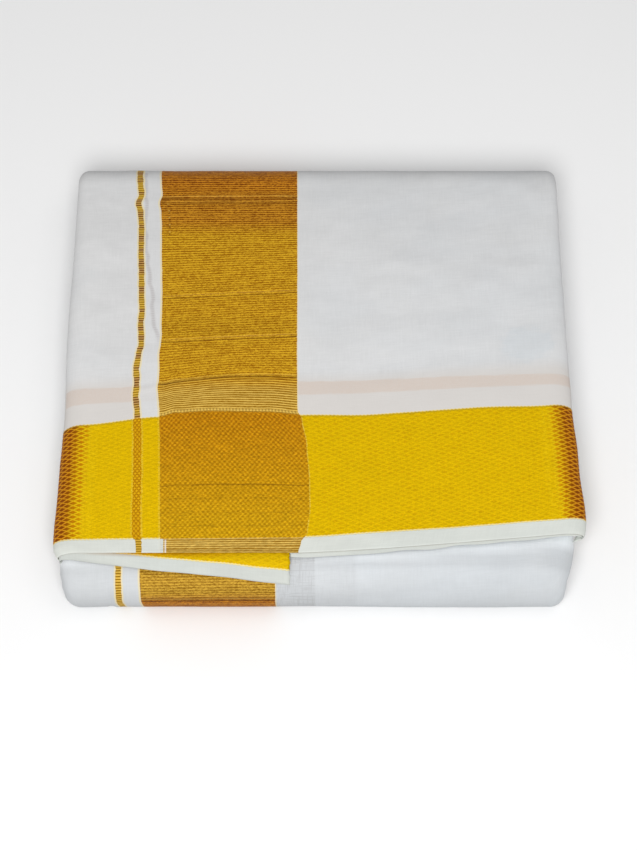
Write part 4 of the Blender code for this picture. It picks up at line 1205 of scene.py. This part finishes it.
def under_sheet(context, name, node, reach_rows, uneven, depth, columns, flat_to, turns, frayed_end):
    """A layer just under the top one, from inside the pack to its own selvedge, frayed at its cut end."""
    sizes = context.scene.dhoti_sizes
    first_row, _, _ = across(np.array([0.0]), depth, columns, UNDER_CURL_COLUMNS, flat_to, turns)
    x0 = first_row[0] / MM
    reach = flowing(reach_rows, "out", x0) * MM
    reach = reach + uneven * MM * ruffled(x0, 0 * x0, SELVEDGE_RUFFLE)
    outs = np.concatenate([
        np.linspace(-HIDDEN, 0, HIDDEN_ROWS)[:-1, None] + 0 * reach[None, :],
        np.linspace(0, 1, SHOWN_ROWS)[:, None] * reach[None, :]])
    stage = np.maximum(0.0, -outs[:, 0] / TOP_RUN)
    x, below, rounding = across(stage, depth, columns, UNDER_CURL_COLUMNS, flat_to, turns)
    x[:, frayed_end] += sum(height * MM * np.sin(np.arange(len(stage)) * turn) for height, turn in FRAYS)
    points = lay(stage[:, None] + 0 * x, x, below)
    forward, down = droop(outs, np.radians(flowing(reach_rows, "start", x0))[None, :])
    points[..., 1] -= forward
    points[..., 2] -= down
    u = x / MM
    v = (reach[None, :] - outs) / MM
    v = v + (SELVEDGE - flowing(reach_rows, "selvedge", x0))[None, :]
    lift = sum(ruffled(u, v, ruffle) for ruffle in UNDER_RUFFLES)
    lift = np.where(outs < 0, 0.3 * lift, lift) * MM * sizes.crease_depth
    points = points - outward(points) * lift[..., None]
    # Painted shade next to the flap's edge, on top of the under layer being darker all over.
    in_shade = 1 - np.clip(outs / (SHADE_DEPTH * reach), 0, 1)
    in_shade *= np.interp(x0, SHADE_X, SHADE_SHARES)
    paler = -DULLER - SHADE * in_shade
    cloth = cloth_object(name, points[::-1], u[::-1] + UNDER_SHIFT, v[::-1], rounding[::-1], cloth_material(context),
                         sizes.cloth_thickness, paler[::-1])
    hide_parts(node)
    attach(cloth, "root")


class DHOTI_OT_under_layers(bpy.types.Operator):
    """Make the two layers whose own selvedges show in front of the flap, the left one hanging out to its cut end"""

    bl_idname = "dhoti.under_layers"
    bl_label = "Under layers"

    def execute(self, context):
        under_sheet(context, "under_cloth_left", "under_layer_left", LEFT_REACH, 0.3, 0.95 * MM, 70,
                    (None, CUT_END), (math.radians(118), None), -1)
        under_sheet(context, "under_cloth_right", "under_layer_right", RIGHT_REACH, 0.9, 1.05 * MM, 130,
                    (CUT_END + CUT_GAP, None), (None, math.radians(100)), 0)
        return {"FINISHED"}


def upper_middle(stage):
    """The height at which the inner layers' two passes in the pack's upper half meet."""
    top = FLAP_TOP + (2 * BACK_RADIUS - FLAP_TOP) * stage - COVER
    return (top + slit(FLAP_EDGE + TOP_RUN * stage)) / 2


def lower_middle(y):
    """The height at which the two passes in the lower half meet."""
    share = (y - FRONT_AXIS) / UNDER_RUN
    return (slit(y) + COVER * share) / 2


def one_outline(stage):
    y, z = outline(np.array([stage]))
    return float(y[0]), float(z[0])


def round_back(share, radii):
    """(y, z) of points this share of the way round the back fold, at these distances from its axis."""
    turn = math.pi * share
    return [(BACK_AXIS + radius * math.sin(turn), BACK_RADIUS + radius * math.cos(turn)) for radius in radii]


def inner_stations():
    """Sections along the inner layers: from the flap's front round the outside of the pack, and back inside it."""
    stations = []
    for stage in np.linspace(INNER_START / TOP_RUN, 1.0, 60):
        y, z = one_outline(stage)
        inner = upper_middle(stage) + HALF_GAP
        stations.append(
            Station((y, z - UNDER_COVER), (y, inner), stage, UNDER_COVER, UNDER_COVER, z - inner, stage))
    radius = upper_middle(1.0) - BACK_RADIUS + HALF_GAP
    for share in np.linspace(0, 1, 25)[1:]:
        faces = round_back(share, (BACK_RADIUS - COVER, radius))
        stations.append(Station(*faces, 1 + share, COVER, COVER, BACK_RADIUS - radius, 1.0))
    for share in np.linspace(0, 1, 40)[1:-1]:
        y, _ = one_outline(2 + share)
        inner = lower_middle(y) - HALF_GAP
        stations.append(Station((y, COVER), (y, inner), 2 + share, COVER, COVER, inner, 1.0))
    for share in np.linspace(0, 1, 25):
        y, z = one_outline(3 + share)
        in_y, in_z = (float(a[0]) for a in inward(np.array([3 + share])))
        turn = math.pi * share
        outer = (y + in_y * COVER, z + in_z * COVER)
        inner = (FRONT_AXIS - HALF_GAP * math.sin(turn), FRONT_HEIGHT / 2 - HALF_GAP * math.cos(turn))
        stations.append(Station(outer, inner, 3 + share, COVER, COVER, math.dist((y, z), inner), 1.0))
    for reach in np.linspace(0, UNDER_RUN, 50)[1:]:
        y = FRONT_AXIS + reach
        room = COVER if reach <= TUCK_LENGTH + MM else SLIT_GAP + SLIT_WIDENING * reach / UNDER_RUN
        inner = lower_middle(y) + HALF_GAP
        stage = 4 + min(1.0, reach / TUCK_LENGTH)
        stations.append(Station((y, slit(y) - room), (y, inner), stage, COVER, room, slit(y) - inner, 1.0))
    radius = upper_middle(1.0) - BACK_RADIUS - HALF_GAP
    for share in np.linspace(1, 0, 14)[1:-1]:
        faces = round_back(share, (CREASE_INSIDE, radius))
        stations.append(Station(*faces, 1 + share, COVER, BACK_RADIUS - CREASE_INSIDE, BACK_RADIUS - radius, 1.0))
    for stage in np.linspace(1.0, INNER_END / TOP_RUN, 50):
        y, z = one_outline(stage)
        outer = slit(y) + SLIT_GAP + SLIT_WIDENING * stage
        inner = upper_middle(stage) - HALF_GAP
        stations.append(Station((y, outer), (y, inner), stage, UNDER_COVER, z - outer, z - inner, stage))
    return stations


def side_reach(station, name, depth):
    """How far out the inner layers reach on one side at this depth, inside the cloth that rounds it."""
    at = np.array(station.stage)
    half = float(eased(SIDES, name, at)) * MM
    round_in = float(eased(SIDES, "round_in", at)) * MM
    drop = float(eased(SIDES, "drop_" + name, at)) * MM
    wrap = math.radians(float(eased(SIDES, "wrap_" + name, at)))
    if depth <= station.cover:
        return half - round_in
    height = max(math.cos(wrap), (drop - depth) / (drop - station.cover))
    if wrap < math.pi / 2 and height <= math.cos(wrap):
        height = 0.0
    return half - round_in + (round_in - station.cover) * math.sqrt(1 - height * height)


def inner_grid(stations, folds):
    """Points round each section of the inner layers, with woven coordinates in mm. Each fold's edge is rounded and
    none is quite as wide as its neighbours.
    """
    shares = np.concatenate([(fold + FOLD_SHAPE) / folds for fold in range(folds)] + [[1.0]])
    last = len(shares) - 1
    fold_of = np.minimum((shares * folds).astype(int), folds - 1)
    within = shares * folds - fold_of
    edge = 1 - np.sqrt(np.clip(1 - (2 * within - 1) ** 2, 0, 1))
    over = np.linspace(0, 1, FACE_COLUMNS)
    walked_v = 0.0
    rings, woven = [], []
    before = None
    for number, station in enumerate(stations):
        outer, inner = np.array(station.outer), np.array(station.inner)
        centre = (outer + inner) / 2
        walked_v += 0.0 if before is None else float(np.hypot(*(centre - before)))
        before = centre
        uneven = 0.9 * np.sin(fold_of * 2.3 + walked_v / MM / 41.0) + 0.5 * np.sin(fold_of * 4.1 + walked_v / MM / 13.0)
        cut = (FOLD_ROUND * edge + FOLD_UNEVEN * (uneven + 1.0)) * MM
        depths = station.outer_depth + (station.inner_depth - station.outer_depth) * shares
        lefts = np.array([-side_reach(station, "left", d) for d in depths]) + cut
        rights = np.array([side_reach(station, "right", d) for d in depths]) - cut
        forward = 0 * shares
        if number in (0, len(stations) - 1):
            forward = (1.0 - edge) * END_ROUND * MM + END_UNEVEN * MM * np.sin(fold_of * 1.9)
        side_yz = outer[None, :] + (inner - outer)[None, :] * shares[:, None]
        places = [(lefts[0] + (rights[0] - lefts[0]) * a, 0) for a in over]
        places += [(rights[k], k) for k in range(1, last)]
        places += [(lefts[last] + (rights[last] - lefts[last]) * a, last) for a in over[::-1]]
        places += [(lefts[k], k) for k in range(last - 1, 0, -1)]
        ring = []
        for x, k in places:
            y, z = side_yz[k]
            if station.on_top < 1:
                y = y + float(setback(np.array(x))) * (1 - station.on_top)
                if station.outer_depth <= station.cover + MM:
                    lift = float(swell(np.array(x), np.array(y)))
                    z += (1 - shares[k]) * lift * min(1.0, 4 * (1 - station.on_top))
            ring.append((x, y - forward[k], z))
        rings.append(ring)
        woven.append([(x / MM + UNDER_SHIFT, walked_v / MM) for x, _ in places])
    return np.array(rings), np.array(woven), len(shares), walked_v


def close_end(points, uvs, start, around, between_rows):
    """Rows of points over one end of the inner layers, from its top to its bottom. New points join the lists."""
    top = [start + k for k in range(FACE_COLUMNS)]
    near_y, far_y = points[top[0]][1], points[top[-1]][1]
    rows = [top]
    for r in range(1, between_rows + 1):
        left = start + around - r
        right = start + FACE_COLUMNS + r - 1
        a, b = np.array(points[left]), np.array(points[right])
        row = [left]
        for k in range(1, FACE_COLUMNS - 1):
            share = k / (FACE_COLUMNS - 1)
            point = a + (b - a) * share
            point[1] += points[top[k]][1] - (near_y + (far_y - near_y) * share)
            points.append(point.tolist())
            uvs.append([uvs[left][0] + (uvs[right][0] - uvs[left][0]) * share, uvs[left][1]])
            row.append(len(points) - 1)
        rows.append(row + [right])
    bottom = start + FACE_COLUMNS + between_rows
    rows.append([bottom + k for k in range(FACE_COLUMNS)][::-1])
    return rows


class DHOTI_OT_inner_layers(bpy.types.Operator):
    """Make the inner layers: one wound bundle whose sides and ends show the folded edges one on another"""

    bl_idname = "dhoti.inner_layers"
    bl_label = "Inner layers"

    def execute(self, context):
        sizes = context.scene.dhoti_sizes
        rings, woven, depths, length = inner_grid(inner_stations(), sizes.inner_folds)
        count, around = rings.shape[:2]
        points = rings.reshape(-1, 3).tolist()
        uvs = woven.reshape(-1, 2).tolist()
        faces = []
        for i in range(count - 1):
            a, b = i * around, (i + 1) * around
            faces += [(a + k, b + k, b + (k + 1) % around, a + (k + 1) % around) for k in range(around)]
        for start, flip in ((0, False), ((count - 1) * around, True)):
            rows = close_end(points, uvs, start, around, depths - 2)
            for row, below in zip(rows, rows[1:]):
                for k in range(FACE_COLUMNS - 1):
                    quad = (row[k], row[k + 1], below[k + 1], below[k])
                    faces.append(quad[::-1] if flip else quad)
        mesh = bpy.data.meshes.new("inner_layers")
        mesh.from_pydata(points, [], faces)
        layer = mesh.uv_layers.new(name="woven")
        for loop in mesh.loops:
            # Both ends lie near the selvedge, and the middle of the strip far along the cloth.
            u, v = uvs[loop.vertex_index]
            layer.data[loop.index].uv = (u * MM, 1.1 * min(v, length / MM - v) * MM)
        mesh.attributes.new("rounding", "FLOAT", "POINT")
        mesh.shade_smooth()
        mesh.materials.append(cloth_material(context))
        inner = bpy.data.objects.new("inner_layers", mesh)
        context.scene.collection.objects.link(inner)
        bpy.ops.object.select_all(action="DESELECT")
        context.view_layer.objects.active = inner
        inner.select_set(True)
        bpy.ops.object.mode_set(mode="EDIT")
        bpy.ops.mesh.select_all(action="SELECT")
        bpy.ops.mesh.normals_make_consistent(inside=False)
        bpy.ops.object.mode_set(mode="OBJECT")
        inner.select_set(False)
        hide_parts("hidden_layers")
        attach(inner, "root")
        return {"FINISHED"}


class DHOTI_OT_stage(bpy.types.Operator):
    """Set the board it lies on, the soft lights and the camera"""

    bl_idname = "dhoti.stage"
    bl_label = "Stage"

    def execute(self, context):
        bpy.ops.object.select_all(action="DESELECT")
        bpy.ops.mesh.primitive_plane_add(size=1, location=(0, 0, 0))
        board = context.object
        board.name = "board"
        board.scale = (BOARD_SIZE, BOARD_SIZE, 1.0)
        bpy.ops.object.transform_apply(location=True, rotation=True, scale=True)
        board.data.materials.append(matt_board((*context.scene.dhoti_colours.floor, 1.0)))
        board.select_set(False)

        context.scene.view_settings.view_transform = "Standard"
        world = context.scene.world or bpy.data.worlds.new("studio")
        context.scene.world = world
        world.use_nodes = True
        background = world.node_tree.nodes["Background"]
        background.inputs["Color"].default_value = (1.0, 1.0, 1.0, 1.0)
        background.inputs["Strength"].default_value = WORLD_STRENGTH
        for light in LIGHTS:
            data = bpy.data.lights.new(light.name, "AREA")
            data.shape = "DISK"
            data.size = light.size
            data.energy = light.power
            lamp = bpy.data.objects.new(light.name, data)
            lamp.location = light.place
            direction = [a - b for a, b in zip(light.place, light.aim)]
            tilt = math.acos(direction[2] / math.hypot(*direction))
            lamp.rotation_euler = (tilt, 0.0, math.atan2(direction[0], -direction[1]))
            context.scene.collection.objects.link(lamp)

        camera_data = bpy.data.cameras.new("camera")
        camera_data.sensor_width = SENSOR
        camera_data.lens = LENS
        camera = bpy.data.objects.new("camera", camera_data)
        aim_x, aim_y, aim_z = CAMERA_AIM
        camera.location = (aim_x, aim_y - CAMERA_DISTANCE * math.cos(CAMERA_ANGLE),
                           aim_z + CAMERA_DISTANCE * math.sin(CAMERA_ANGLE))
        camera.rotation_euler = (math.pi / 2 - CAMERA_ANGLE, 0.0, 0.0)
        context.scene.collection.objects.link(camera)
        context.scene.camera = camera
        return {"FINISHED"}


class DHOTI_PT_panel(bpy.types.Panel):
    """Buttons and settings of the folded dhoti"""

    bl_idname = "DHOTI_PT_panel"
    bl_label = "Folded dhoti"
    bl_space_type = "VIEW_3D"
    bl_region_type = "UI"
    bl_category = "Dhoti"

    def draw(self, context):
        for name in ("outer_cloth", "under_layers", "inner_layers", "stage"):
            self.layout.operator("dhoti." + name)
        for name in DhotiSizes.__annotations__:
            self.layout.prop(context.scene.dhoti_sizes, name)
        for name in DhotiColours.__annotations__:
            self.layout.prop(context.scene.dhoti_colours, name)


CLASSES = (DhotiSizes, DhotiColours, DHOTI_OT_outer_cloth, DHOTI_OT_under_layers, DHOTI_OT_inner_layers,
           DHOTI_OT_stage, DHOTI_PT_panel)


def register():
    for cls in CLASSES:
        bpy.utils.register_class(cls)
    bpy.types.Scene.dhoti_sizes = bpy.props.PointerProperty(type=DhotiSizes)
    bpy.types.Scene.dhoti_colours = bpy.props.PointerProperty(type=DhotiColours)


def unregister():
    del bpy.types.Scene.dhoti_colours
    del bpy.types.Scene.dhoti_sizes
    for cls in reversed(CLASSES):
        bpy.utils.unregister_class(cls)


def main():
    register()
    bpy.ops.dhoti.inner_layers()
    bpy.ops.dhoti.under_layers()
    bpy.ops.dhoti.outer_cloth()
    bpy.ops.dhoti.stage()


if __name__ == "__main__":
    main()
